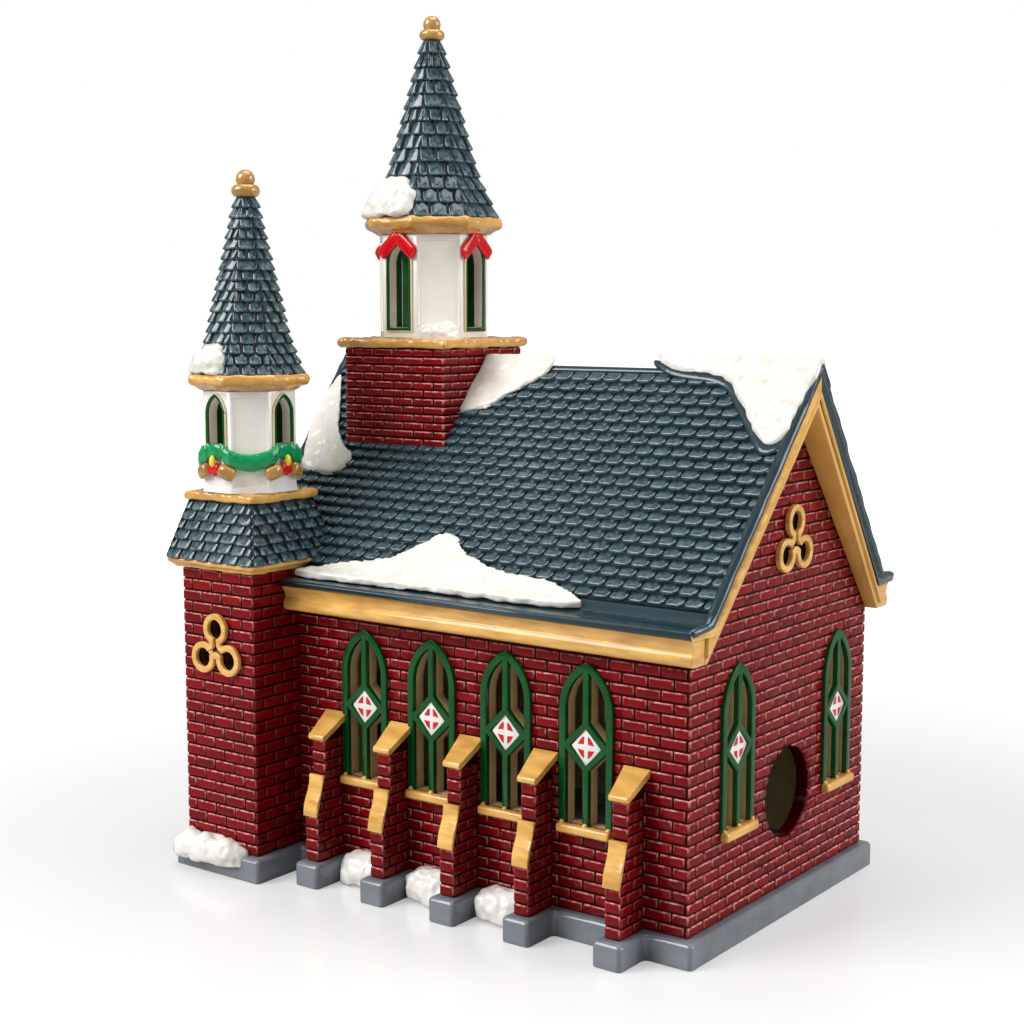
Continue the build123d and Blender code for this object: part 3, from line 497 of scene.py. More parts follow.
@dataclass
class Pile:
    """Many copies of stamps gathered into one mesh."""

    points: list[np.ndarray] = field(default_factory=list)
    faces: list[tuple[int, ...]] = field(default_factory=list)
    edge: list[np.ndarray] = field(default_factory=list)
    tone: list[np.ndarray] = field(default_factory=list)
    count: int = 0

    # The last argument scales the copy's light edges, which carry painted highlight.
    def add(self, stamp: Stamp, local: np.ndarray, matrix: Matrix, tone: float, edge_highlight: float = 1.0) -> None:
        """Lay one copy.

        Args:
            stamp: Form that is copied.
            local: Its points in face coordinates.
            matrix: Place of the face.
            tone: Shade of this copy, 0 to 1.
            edge_highlight: Strength of its light edges.
        """
        self.points.append(local @ np.array(matrix.to_3x3()).T + np.array(matrix.translation))
        self.faces.extend(tuple(i + self.count for i in face) for face in stamp.faces)
        self.edge.append(stamp.edge * edge_highlight)
        self.tone.append(np.full(len(local), tone))
        self.count += len(local)

    def build(self, name: str) -> Object:
        """Make the object with its edge and tone values.

        Args:
            name: Name of the object.

        Returns:
            The object.
        """
        mesh = bpy.data.meshes.new(name)
        mesh.from_pydata(np.concatenate(self.points).tolist(), [], self.faces)
        for label, values in (("edge", self.edge), ("tone", self.tone)):
            layer = mesh.attributes.new(label, "FLOAT", "POINT")
            layer.data.foreach_set("value", np.concatenate(values).astype(np.float32))
        return new_object(name, mesh)


@dataclass
class BlockStamp:
    """Stamp modelled from a block that stands on z = 0, in millimetres."""

    length: float
    height: float
    depth: float
    soft: float = 0.42

    def block(self) -> Object:
        """Make the plain block.

        Returns:
            The block.
        """
        obj = primitive("cube", "block", size=1)
        obj.data.transform(Matrix.Diagonal((self.length * MM, self.height * MM, self.depth * MM, 1)))
        obj.data.transform(Matrix.Translation((0, 0, self.depth * MM / 2)))
        return obj

    def soften(self, obj: Object, width: float, test: Callable[[bmesh.types.BMEdge], bool]) -> None:
        """Round the edges that pass a test, and stay in edit mode."""
        pick(obj, edit(obj).edges, test)
        bpy.ops.mesh.bevel(offset=width * MM, segments=2, affect="EDGES")

    def read(self, obj: Object) -> Stamp:
        """Read the modelled form as a stamp and take the object away.

        Args:
            obj: Modelled form.

        Returns:
            The stamp.
        """
        mesh = obj.data
        points = np.array([tuple(v.co) for v in mesh.vertices])
        values = np.array([self.edge_at(v.co) for v in mesh.vertices])
        faces = [tuple(p.vertices) for p in mesh.polygons]
        bpy.data.objects.remove(obj)
        bpy.data.meshes.remove(mesh)
        return Stamp(points, faces, values, self.length * MM, self.height * MM)

    def edge_at(self, point: Vector) -> float:
        """Strength of the light edge at a point, part glaze broken thin and part painted highlight, 0 to 1."""
        raise NotImplementedError


@dataclass
class BrickStamp(BlockStamp):
    """One brick with softened edges."""

    length: float = 7.6
    height: float = 2.75
    depth: float = 0.65
    band: float = 0.3
    dish: Point = (0.2, 0.03)
    # Strength of the painted highlight on the lower edge, the ends and the upper edge.
    lights: Triple = (0.06, 0.5, 1.0)

    def make(self) -> Stamp:
        """Model the brick.

        Returns:
            Its stamp.
        """
        obj = self.block()
        top = self.depth * MM * 0.99
        self.soften(obj, self.soft, lambda e: all(v.co.z > top for v in e.verts))
        pick(obj, edit(obj, FACES).faces, lambda f: f.normal.z > 0.99)
        bpy.ops.mesh.inset(thickness=self.dish[0] * MM, depth=self.dish[1] * MM)
        only(obj)
        return self.read(obj)

    def edge_at(self, point: Vector) -> float:
        """Painted highlight over the upper edge, less at the ends, hardly any below, as light falls from above;
        the glaze also breaks thin on the edges.

        Args:
            point: A point of the brick.

        Returns:
            Strength of the light edge there, glaze broken thin and painted highlight, 0 to 1.
        """
        away = min(self.length * MM / 2 - abs(point.x), self.height * MM / 2 - abs(point.y))
        if point.z < 0.05 * MM or away > self.band * MM:
            return 0.0
        if point.y < 0:
            return self.lights[0]
        return self.lights[2] if self.height * MM / 2 - point.y < self.band * MM else self.lights[1]


@dataclass
class TabStamp(BlockStamp):
    """One roof shingle: a plate with a rounded butt, thin at its head."""

    length: float = 5.4
    height: float = 4.0
    depth: float = 0.95
    corner: float = 1.0
    slices: Triple = (-0.22, 0.0, 0.22)
    thinned: float = 0.85
    # Width of the painted highlight along the butt.
    band: float = 0.75

    def make(self) -> Stamp:
        """Model the shingle, open at its back and its head.

        Returns:
            Its stamp.
        """
        obj = self.block()
        low = -self.height * MM / 2
        top = self.depth * MM * 0.99
        pick(obj, edit(obj, FACES).faces, lambda f: f.normal.z < -0.9 or f.normal.y > 0.9)
        bpy.ops.mesh.delete(type="FACE")
        self.soften(obj, self.corner, lambda e: all(v.co.y < low * 0.99 for v in e.verts)
                    and abs(e.verts[0].co.x - e.verts[1].co.x) < 1e-7)
        self.soften(obj, self.soft, lambda e: all(v.co.z > top for v in e.verts)
                    and not all(v.co.y > -low * 0.99 for v in e.verts))
        for place in self.slices:
            slice_at(obj, Vector((place * self.length * MM, 0, 0)), Vector((1, 0, 0)))
        for vertex in obj.data.vertices:
            vertex.co.z *= 1 - self.thinned * (vertex.co.y - low) / (self.height * MM)
        return self.read(obj)

    def edge_at(self, point: Vector) -> float:
        """Painted highlight along the butt."""
        return 1.0 if point.y < (-self.height / 2 + self.band) * MM and point.z > 0.2 * MM else 0.0


# Finishes


def tint(shade: Triple) -> tuple[float, ...]:
    """Linear colour of a display colour given in 0 to 255."""
    shares = [value / 255 for value in shade]
    return (*(s / 12.92 if s <= 0.04045 else ((s + 0.055) / 1.055) ** 2.4 for s in shares), 1.0)


@dataclass
class Wires:
    """Adds nodes to a shader tree with their settings, values and links."""

    tree: NodeTree

    def feed(self, node: Node, values: dict[str | int, object]) -> None:
        """Fill a node's inputs: a socket is linked, any other value is set.

        Args:
            node: Node to fill.
            values: Sockets and plain values by the input's name or number.
        """
        for label, value in values.items():
            if isinstance(value, NodeSocket):
                self.tree.links.new(value, node.inputs[label])
            else:
                node.inputs[label].default_value = value

    def add(self, kind: str, values: dict[str | int, object] | None = None, result: str | int = 0,
            **settings: object) -> NodeSocket:
        """Add a node.

        Args:
            kind: Its kind.
            values: What its inputs take.
            result: Which output is wanted.
            settings: Its settings by name.

        Returns:
            The output.
        """
        node = self.tree.nodes.new("ShaderNode" + kind)
        for label, value in settings.items():
            setattr(node, label, value)
        self.feed(node, values or {})
        return node.outputs[result]

    def times(self, first: NodeSocket, second: NodeSocket) -> NodeSocket:
        """Product of two values."""
        return self.add("Math", {0: first, 1: second}, operation="MULTIPLY")

    def mix(self, share: NodeSocket, first: NodeSocket, second: NodeSocket) -> NodeSocket:
        """Mix of two colours."""
        return self.add("Mix", {"Factor": share, "A": first, "B": second}, "Result", data_type="RGBA")


@dataclass
class GlazeGroup:
    """Shared look of fired glaze: pooled colour, light edges where the glaze breaks thin and partly painted
    highlight, and a faintly wavy skin.
    """

    name: str = "fired_glaze"
    colours: tuple[str, ...] = ("Base", "Deep", "Edge")
    numbers: tuple[tuple[str, float], ...] = (
        ("Edge Mask", 0.0), ("Tone", 0.5), ("Scale", 150.0), ("Streak", 1.0), ("Pooling", 0.5), ("Gloss", 0.2),
        ("Wave", 0.3))

    def get(self) -> NodeTree:
        """The group, built on first use."""
        return bpy.data.node_groups.get(self.name) or self.build()

    def build(self) -> NodeTree:
        """Lay out the group's sockets and nodes.

        Returns:
            The group.
        """
        tree = bpy.data.node_groups.new(self.name, "ShaderNodeTree")
        colour, number = "NodeSocketColor", "NodeSocketFloat"
        for label in self.colours:
            tree.interface.new_socket(label, in_out="INPUT", socket_type=colour)
        for label, value in self.numbers:
            tree.interface.new_socket(label, in_out="INPUT", socket_type=number).default_value = value
        for label, kind in (("Color", colour), ("Roughness", number), ("Height", number)):
            tree.interface.new_socket(label, in_out="OUTPUT", socket_type=kind)
        wires = Wires(tree)
        given = tree.nodes.new("NodeGroupInput").outputs
        place = wires.add("TexCoord", result="Object")
        stretch = wires.add("CombineXYZ", {"X": 1.0, "Y": 1.0, "Z": given["Streak"]})
        drawn = wires.add("VectorMath", {0: place, 1: stretch}, operation="MULTIPLY")
        broad = wires.add("TexNoise", {"Vector": drawn, "Scale": given["Scale"], "Detail": 4.0}, "Fac")
        fine = wires.add("TexNoise", {"Vector": place, "Scale": 700.0, "Detail": 2.0}, "Fac")
        pool = wires.add("MapRange", {"Value": broad, "From Min": 0.35, "From Max": 0.68})
        body = wires.mix(wires.times(pool, given["Pooling"]), given["Base"], given["Deep"])
        shade = wires.add("MapRange", {"Value": given["Tone"], "To Min": 0.78, "To Max": 1.22})
        toned = wires.add("HueSaturation", {"Color": body, "Value": shade})
        patchy = wires.add("MapRange", {"Value": fine, "From Min": 0.38, "From Max": 0.64, "To Min": 0.15})
        # Light edges: the edge colour mixed in by the edge mask, glaze broken thin and partly painted
        # highlight.
        final = wires.mix(wires.times(given["Edge Mask"], patchy), toned, given["Edge"])
        rough = wires.add("Math", {0: fine, 1: 0.12, 2: given["Gloss"]}, operation="MULTIPLY_ADD")
        wires.feed(tree.nodes.new("NodeGroupOutput"), {
            "Color": final, "Roughness": rough, "Height": wires.times(broad, given["Wave"])})
        return tree


@dataclass(frozen=True)
class Finish:
    """One glaze or bare body: its display colours and how it lies on the clay."""

    name: str
    base: Triple
    deep: Triple
    edge: Triple
    scale: float = 150.0
    streak: float = 1.0
    pooling: float = 0.5
    gloss: float = 0.1
    wave: float = 0.4
    coat: float = 0.4
    specular: float = 0.4
    stamped: bool = False

    def material(self) -> Material:
        """Make the material on first use.

        Returns:
            The material.
        """
        found = bpy.data.materials.get(self.name)
        if found:
            return found
        material = bpy.data.materials.new(self.name)
        material.use_nodes = True
        wires = Wires(material.node_tree)
        group = wires.tree.nodes.new("ShaderNodeGroup")
        group.node_tree = GlazeGroup().get()
        wires.feed(group, {"Base": tint(self.base), "Deep": tint(self.deep), "Edge": tint(self.edge),
                           "Scale": self.scale, "Streak": self.streak, "Pooling": self.pooling,
                           "Gloss": self.gloss, "Wave": self.wave})
        # Stamped finishes read each stamp's edge and tone values; the edge values mix in the edge colour,
        # painted highlight with the glaze broken thin.
        if self.stamped:
            wires.feed(group, {"Edge Mask": wires.add("Attribute", result="Fac", attribute_name="edge"),
                               "Tone": wires.add("Attribute", result="Fac", attribute_name="tone")})
        bump = wires.add("Bump", {"Distance": 0.6 * MM, "Strength": 0.5, "Height": group.outputs["Height"]})
        wires.feed(wires.tree.nodes["Principled BSDF"], {
            "Base Color": group.outputs["Color"], "Roughness": group.outputs["Roughness"], "Normal": bump,
            "Coat Weight": self.coat, "Coat Roughness": 0.05, "Specular IOR Level": self.specular})
        return material


STRAW = (250, 220, 160)
# The brick, slate and spire slate edge colours are painted highlight on the stamps' light edges.
BRICK = Finish("brick_red_glaze", (128, 10, 15), (92, 4, 7), (240, 158, 152), 260.0, gloss=0.14, coat=0.14,
               specular=0.08, stamped=True)
JOINT = Finish("joint_maroon_glaze", (62, 2, 4), (42, 1, 2), (90, 20, 30), 300.0, coat=0.0, specular=0.04)
BISQUE = Finish("bare_bisque", (206, 180, 134), (172, 146, 104), (214, 192, 156), gloss=0.5, coat=0.0,
                specular=0.2)
SLATE = Finish("slate_blue_glaze", (40, 63, 71), (22, 40, 48), (84, 108, 114), 220.0, gloss=0.07, coat=0.8,
               specular=0.45, stamped=True)
# Darker copy of the slate for the spires and the skirt roof, painted shade against the light their tabs catch,
# with a brighter painted highlight on the butts.
SHADED_SPIRE_SLATE = Finish("slate_spire_shaded_glaze", (28, 49, 57), (15, 32, 40), (110, 134, 140), 220.0, gloss=0.06, coat=0.6,
               specular=0.3, stamped=True)
LEDGE = Finish("slate_ledge_glaze", (34, 56, 64), (26, 44, 52), (90, 116, 122), 120.0, gloss=0.16, coat=0.5)
GOLD = Finish("ochre_gold_glaze", (246, 194, 106), (196, 136, 60), STRAW, 90.0, 5.0, 0.75, 0.14, 0.7)
OCHRE = Finish("cornice_ochre_glaze", (230, 176, 94), (172, 116, 50), STRAW, 90.0, 5.0, 0.8, 0.12, 0.7, 0.5)
RAKE = Finish("rake_gold_glaze", (240, 187, 99), (200, 142, 66), STRAW, 45.0, pooling=0.6, gloss=0.14, wave=0.7)
# Gold darkened to brown for the sides of the trefoils' holes: painted shade in the holes.
SHADED_GOLD = Finish("trefoil_shaded_gold_glaze", (96, 64, 20), (44, 27, 8), (150, 110, 50), gloss=0.3, coat=0.1,
               specular=0.2)
BRONZE = Finish("bell_bronze_glaze", (204, 154, 76), (128, 88, 34), STRAW, pooling=0.7, gloss=0.06, coat=0.9)
GREEN = Finish("forest_green_glaze", (8, 84, 30), (3, 48, 15), (84, 140, 92), coat=0.35, specular=0.15)
WHITE = Finish("snow_white_glaze", (232, 228, 220), (208, 203, 192), (255, 255, 255), 130.0, 2.0, 0.6, 0.2, 1.1,
               0.25)
WARM = Finish("warm_white_glaze", (246, 243, 237), (238, 233, 225), (250, 248, 244), pooling=0.6)
PANEL = Finish("panel_cream_glaze", (252, 246, 236), (246, 239, 227), (250, 246, 238), pooling=0.6, gloss=0.3)
REVEAL = Finish("reveal_clay", (244, 232, 214), (224, 210, 190), (246, 238, 224), gloss=0.5, coat=0.0,
                specular=0.2)
HOLLOW = Finish("hollow_green_shade", (16, 78, 26), (5, 36, 11), (40, 60, 42), gloss=0.4, coat=0.0,
                specular=0.15)
CREAM = Finish("rim_cream_glaze", (246, 232, 192), (226, 200, 144), (250, 244, 224), gloss=0.15)
GREY = Finish("plinth_grey_glaze", (126, 132, 139), (100, 106, 114), (170, 176, 182), 130.0, coat=0.5)
EMERALD = Finish("garland_emerald_glaze", (2, 158, 92), (0, 104, 56), (70, 196, 140), 420.0, 2.5, gloss=0.12)
RED = Finish("ribbon_red_glaze", (218, 8, 20), (176, 4, 10), (238, 100, 96), 220.0, coat=0.5, specular=0.25)
YELLOW = Finish("bud_yellow_glaze", (255, 228, 52), (246, 200, 30), (255, 230, 140), coat=0.5)


def dress(obj: Object, *finishes: Finish) -> None:
    """Give an object its materials in slot order."""
    for finish in finishes:
        obj.data.materials.append(finish.material())


# Brickwork


@dataclass
class Hole:
    """Opening in a brick face: its outline on the face, in millimetres."""

    outline: list[Point]

    def box(self) -> tuple[float, float, float, float]:
        """Left, right, foot and head."""
        xs, ys = zip(*self.outline)
        return min(xs), max(xs), min(ys), max(ys)

    def holds(self, x: float, y: float) -> bool:
        """Whether a point lies inside.

        Args:
            x: Place along the face.
            y: Height on it.

        Returns:
            True inside.
        """
        inside = False
        for (x0, y0), (x1, y1) in zip(self.outline, self.outline[1:] + self.outline[:1]):
            if (y0 > y) != (y1 > y) and x < x0 + (y - y0) * (x1 - x0) / (y1 - y0):
                inside = not inside
        return inside


@dataclass
class BrickFace:
    """Running bond on one flat face; x along, y up from the table, in millimetres."""

    matrix: Matrix
    left: float
    right: float
    foot: float
    head: float
    course: float = 3.07
    brick: float = 8.0
    joint: float = 0.6
    sunk: float = 0.55
    least: float = 1.5
    play: float = 0.3
    flatness: float = 0.02
    above: float = 90.0
    jogs: Triple = (0.06, 0.05, 0.07)
    limits: Callable[[float], Point] | None = None
    holes: list[Hole] = field(default_factory=list)
    seed: int = 1
    staggered: bool = True
    laid: bool = True
    # Strength of the painted highlights on the bricks' edges, lower on faces that stand in shade.
    edge_highlight: float = 1.0

    def spans(self) -> list[tuple[float, float, float, float]]:
        """Where every brick lies, the courses spread evenly over the face.

        Returns:
            Left, right, foot and head of each.
        """
        found = []
        count = max(1, round((self.head - self.foot) / self.course)) if self.laid else 0
        step = (self.head - self.foot) / max(count, 1)
        for number in range(count):
            low, high = self.foot + number * step, self.foot + (number + 1) * step
            near = self.limits(high) if self.limits else (self.left, self.right)
            left, right = max(self.left, near[0]), min(self.right, near[1])
            start = self.left - (0.5 if number % 2 and self.staggered else 0.0) * self.brick
            for k in range(math.ceil((self.right - start) / self.brick)):
                x0, x1 = max(left, start + k * self.brick), min(right, start + (k + 1) * self.brick)
                if x1 - x0 > self.least:
                    found.append((x0, x1, low, high))
        return found

    def lay(self, stamp: Stamp, whole: Pile, crossed: Pile) -> None:
        """Lay every brick, those that cross a hole apart from the rest.

        Args:
            stamp: The brick.
            whole: Takes the bricks clear of holes.
            crossed: Takes the bricks to be cut.
        """
        dice = random.Random(self.seed)
        for x0, x1, low, high in self.spans():
            covered = self.covered(x0, x1, low, high)
            jog = [dice.uniform(-1, 1) for _ in range(4)]
            if covered == 1:
                continue
            local = stamp.stretched((x1 - x0 - self.joint) * MM, (high - low - self.joint) * MM)
            local[:, 2] *= 1 + self.jogs[2] * jog[2]
            local[:, 0] += ((x0 + x1) / 2 + self.jogs[0] * jog[0]) * MM
            local[:, 1] += ((low + high) / 2 + self.jogs[1] * jog[1]) * MM
            local[:, 2] -= stamp.points[:, 2].max()
            target = crossed if covered else whole
            target.add(stamp, local, self.matrix, 0.5 + 0.5 * jog[3], self.edge_highlight)

    def covered(self, x0: float, x1: float, low: float, high: float, steps: int = 5) -> float:
        """Share of a brick that lies in a hole: 0 if it is clear, 1 if it is all inside.

        Args:
            x0: Left end.
            x1: Right end.
            low: Foot.
            high: Head.
            steps: Fineness of the test.

        Returns:
            The share.
        """
        for hole in self.holes:
            left, right, foot, head = hole.box()
            if x1 < left or x0 > right or high < foot or low > head:
                continue
            marks = [hole.holds(x0 + (x1 - x0) * i / steps, low + (high - low) * j / steps)
                     for i in range(steps + 1) for j in range(steps + 1)]
            if any(marks):
                return sum(marks) / len(marks)
        return 0

    def cutters(self, depth: float = 6.0) -> list[Object]:
        """A block through the face for each hole.

        Args:
            depth: Length of the blocks.

        Returns:
            The blocks.
        """
        blocks = [prism("cutter", hole.outline, depth) for hole in self.holes]
        for obj in blocks:
            obj.data.transform(self.matrix @ Matrix.Translation((0, 0, -depth / 2 * MM)))
        return blocks

    def holds(self, place: Vector) -> bool:
        """Whether a point lies on the face or on the same plane above it.

        Args:
            place: The point.

        Returns:
            True if it does.
        """
        local = self.matrix.inverted() @ place
        inside = (self.left - self.play) * MM < local.x < (self.right + self.play) * MM
        return abs(local.z) < self.flatness * MM and inside and local.y < (self.head + self.above) * MM


@dataclass
class BrickPiece:
    """A solid whose outer faces carry bricks over a sunk backing."""

    node: str
    faces: list[BrickFace]
    bare: Test | None = None
    # Lined faces, the sides of the trefoils' holes, take the darkened gold as painted shade.
    lined: Test | None = None
    finishes: tuple[Finish, ...] = (JOINT, BRICK, BISQUE, SHADED_GOLD)

    def build(self, stamp: Stamp) -> None:
        """Make backing and bricks as one piece that stands for the solid.

        Args:
            stamp: The brick.
        """
        backing = node_copy(self.node, "_bricks")
        for vertex in backing.data.vertices:
            under = [face for face in self.faces if face.holds(vertex.co)]
            vertex.co -= sum((face.matrix.to_3x3().col[2] * face.sunk * MM for face in under), Vector())
        dress(backing, *self.finishes)
        for slot, test in ((2, self.bare), (3, self.lined)):
            if test:
                paint(backing, slot, test)
        whole, crossed = Pile(), Pile()
        for face in self.faces:
            face.lay(stamp, whole, crossed)
        parts = [pile.build(self.node + "_laid") for pile in (whole, crossed) if pile.count]
        if crossed.count:
            for cutter in [block for face in self.faces for block in face.cutters()]:
                modify(parts[-1], "BOOLEAN", object=cutter, operation="DIFFERENCE", solver="EXACT",
                       use_self=False)
                bpy.data.objects.remove(cutter)
        for part in parts:
            dress(part, *self.finishes)
            paint(part, 1)
        settle(join(backing, *parts), self.node, 50)


@dataclass
class Brickwork:
    """All brick walls, piers, the tower and the steeple's base."""

    half_length: float = 76.8
    half_width: float = 51.25
    foot: float = 7.2
    eave: float = 87.7
    apex: float = 147.76
    attic_foot: float = 48.1
    thickness: float = 4.5
    tower_edges: Point = (-60.4, 40.2)
    rear_middle: float = 2.61
    lamp_height: float = 34.33
    lamp_radius: float = 13.0
    lobe: float = 3.8
    lobe_offset: float = 6.0
    lobe_least: float = 2.4
    trefoil_reach: float = 12.0
    gable_trefoil: float = 105.3
    tower_trefoil: float = 68.73
    window_half: float = 8.5
    window_rise: float = 13.2
    door: Triple = (10.0, 30.8, 15.0)
    pier_half: float = 2.65
    pier_stages: tuple[Triple, Triple] = ((11.8, 7.2, 20.9), (8.4, 33.0, 43.3))
    cheek: Point = (11.5, 8.1)
    reveal_feet: Point = (12.0, 20.0)
    reveal_head: float = 3.0
    reveal_end: float = 6.0
    rear_reveals: Point = (17.0, 44.0)
    # Strength of the painted highlights on the tower's side in its own shade and on the piers' cheeks.
    shaded: float = 0.1
    cheek_highlight: float = 0.2

    def build(self) -> None:
        """Make every brick piece."""
        stamp = BrickStamp().make()
        piers = [self.buttress(f"near_buttress_{number}", -1) for number in range(1, 6)]
        for piece in (self.side_wall(-1), self.side_wall(1), self.rear_gable(), self.front_gable(),
                      self.tower(),
                      BrickPiece("steeple_base", self.four_faces("steeple_base", None, 2.55, 7.9, 51)),
                      *piers, self.buttress("far_buttresses", 1)):
            piece.build(stamp)

    def window_hole(self, node: str, axis: int, flip: float = 1.0) -> Hole:
        """Lancet hole of the window that a node fills.

        Args:
            node: Window node.
            axis: Axis along the wall.
            flip: -1 where the face runs against the axis.

        Returns:
            The hole in face coordinates.
        """
        low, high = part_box(node)
        points = lancet(self.window_half, low[2] / MM, high[2] / MM - self.window_rise, self.window_rise)
        return Hole([(x + flip * middle_of(node)[axis], y) for x, y in points])

    def trefoil_hole(self, x: float, y: float) -> Hole:
        """Three lobes as one outline, a little under the rim.

        Args:
            x: Middle along the face.
            y: Height of the middle.

        Returns:
            The hole.
        """
        points = []
        for degrees in range(90, 450, 5):
            reach = self.lobe_least
            for turn in (90, 210, 330):
                off = math.radians(degrees) - math.radians(turn)
                across = math.sin(off) * self.lobe_offset
                if abs(across) < self.lobe:
                    rest = math.sqrt(self.lobe ** 2 - across ** 2)
                    reach = max(reach, math.cos(off) * self.lobe_offset + rest)
            out = math.radians(degrees)
            points.append((x + reach * math.cos(out), y + reach * math.sin(out)))
        return Hole(points)

    def lamp_hole(self, corners: int = 40) -> Hole:
        """Round hole for the lamp.

        Args:
            corners: Fineness of its outline.

        Returns:
            The hole.
        """
        turns = [math.tau * k / corners for k in range(corners)]
        return Hole([(self.rear_middle + self.lamp_radius * math.cos(t),
                      self.lamp_height + self.lamp_radius * math.sin(t)) for t in turns])

    def side_wall(self, side: int) -> BrickPiece:
        """Long wall with four windows; its bricks reach over the gables' ends.

        Args:
            side: Which way it faces along Y.

        Returns:
            The wall.
        """
        matrix = face_matrix(Vector((0, side * self.half_width, 0)), Vector((0, side, 0)))
        start = self.tower_edges[0] if side < 0 else -self.half_length
        holes = [self.window_hole(f"near_window_{k}", 0, -side) for k in range(1, 5)]
        face = BrickFace(matrix, start, self.half_length, self.foot, self.eave, holes=holes, seed=11 + side)

        def bare(place: Vector, normal: Vector) -> bool:
            """Whether a face is inside the wall or the side of a window.

            Args:
                place: Its middle.
                normal: Its normal.

            Returns:
                True if it is.
            """
            high = self.reveal_feet[0] < place.z / MM < self.eave - self.reveal_head
            middle = high and abs(place.x / MM) < self.half_length - self.reveal_end
            return normal.y * side < -FACING or (abs(normal.y) < EDGEWISE and middle)

        return BrickPiece("near_side_wall" if side < 0 else "far_side_wall", [face], bare)

    def gable_limits(self, height: float) -> Point:
        """Reach of the gable at a height.

        Args:
            height: The height.

        Returns:
            Its left and right end.
        """
        share = (self.apex - height) / (self.apex - self.eave)
        reach = self.half_width if height <= self.eave + 0.1 else self.attic_foot * share - 0.2
        return (-reach, reach)

    def gable(self, end: int, right: float, holes: list[Hole], seed: int) -> list[BrickFace]:
        """Brick face of a gable, and its narrow ends, sunk for the long walls' bricks.

        Args:
            end: Which way it faces along X.
            right: Right end of the bricks.
            holes: Its openings.
            seed: Seed of its irregularities.

        Returns:
            The faces.
        """
        matrix = face_matrix(Vector((end * self.half_length, 0, 0)), Vector((end, 0, 0)))
        faces = [BrickFace(matrix, -self.half_width, right, self.foot, self.apex - 1, limits=self.gable_limits,
                           holes=holes, seed=seed)]
        for side in (-1, 1):
            matrix = face_matrix(Vector((0, side * self.half_width, 0)), Vector((0, side, 0)))
            reach = sorted(-side * end * (self.half_length - inset) for inset in (0, self.thickness))
            faces.append(BrickFace(matrix, reach[0], reach[1], self.foot, self.eave, laid=False))
        return faces

    def near_trefoil(self, across: float, height: float, middle: Point) -> bool:
        """Whether a place on a face belongs to a trefoil."""
        return math.hypot(across / MM - middle[0], height / MM - middle[1]) < self.trefoil_reach

    def rear_gable(self) -> BrickPiece:
        """Gable with the lamp hole, two windows and a trefoil.

        Returns:
            The wall.
        """
        trefoil = (self.rear_middle, self.gable_trefoil)
        holes = [self.window_hole("rear_window_near", 1), self.window_hole("rear_window_far", 1),
                 self.lamp_hole(), self.trefoil_hole(*trefoil)]

        def bare(place: Vector, normal: Vector) -> bool:
            """Whether a face is inside the wall or the side of a window.

            Args:
                place: Its middle.
                normal: Its normal.

            Returns:
                True if it is.
            """
            high = self.reveal_feet[1] < place.z / MM < self.eave - self.reveal_head
            across = abs(place.y / MM - self.rear_middle)
            window = high and self.rear_reveals[0] < across < self.rear_reveals[1]
            return normal.x < -FACING or (abs(normal.x) < EDGEWISE and window)

        return BrickPiece("rear_gable_wall", self.gable(1, self.half_width, holes, 21), bare,
                          lambda c, n: abs(n.x) < EDGEWISE and self.near_trefoil(c.y, c.z, trefoil))

    def front_gable(self) -> BrickPiece:
        """Gable with the doorway and a trefoil, stopped at the tower.

        Returns:
            The wall.
        """
        half, spring, rise = self.door
        trefoil = (0, self.gable_trefoil)
        holes = [Hole(lancet(half, self.foot - 1, self.foot + spring, rise)), self.trefoil_hole(*trefoil)]
        faces = self.gable(-1, self.tower_edges[1], holes, 31)
        return BrickPiece("front_gable_wall", faces, lambda c, n: n.x > FACING,
                          lambda c, n: abs(n.x) < EDGEWISE and self.near_trefoil(c.y, c.z, trefoil))

    def four_faces(self, node: str, foot: float | None, course: float, brick: float,
                   seed: int) -> list[BrickFace]:
        """Brick faces round a square block: near, front, rear and far.

        Args:
            node: Solid of the block.
            foot: Where the bricks start, or the block's own foot.
            course: Height of a course.
            brick: Length of a brick.
            seed: Seed of the first face.

        Returns:
            The faces.
        """
        low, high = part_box(node)
        half = (high[0] - low[0]) / 2 / MM
        faces = []
        for turn, normal in enumerate(((0, -1, 0), (-1, 0, 0), (1, 0, 0), (0, 1, 0))):
            matrix = face_matrix(Vector((*middle_of(node), 0)) + Vector(normal) * half, Vector(normal))
            faces.append(BrickFace(matrix, -half, half, low[2] / MM if foot is None else foot, high[2] / MM,
                                   course, brick, seed=seed + turn))
        return faces

    def tower(self) -> BrickPiece:
        """Square shaft with a trefoil on two sides, its painted highlights turned down on the side in its own
        shade.

        Returns:
            The shaft.
        """
        faces = self.four_faces("tower_shaft", self.foot, 3.43, 8.3, 41)
        for face in faces[:2]:
            face.holes = [self.trefoil_hole(0, self.tower_trefoil)]
        # This side stands in the tower's own shade, so its painted highlights are turned down.
        faces[2].edge_highlight = self.shaded
        middle = middle_of("tower_shaft")

        def lined(place: Vector, normal: Vector) -> bool:
            """Whether a face is the side of a trefoil's hole.

            Args:
                place: Its middle.
                normal: Its normal.

            Returns:
                True if it is.
            """
            x, y = place.x - middle[0] * MM, place.y - middle[1] * MM
            across, through = (x, normal.y) if -y > -x else (y, normal.x)
            near = self.near_trefoil(across, place.z, (0, self.tower_trefoil))
            return near and abs(through) < EDGEWISE and -min(x, y) < (faces[0].right - 0.1) * MM

        return BrickPiece("tower_shaft", faces, lined=lined)

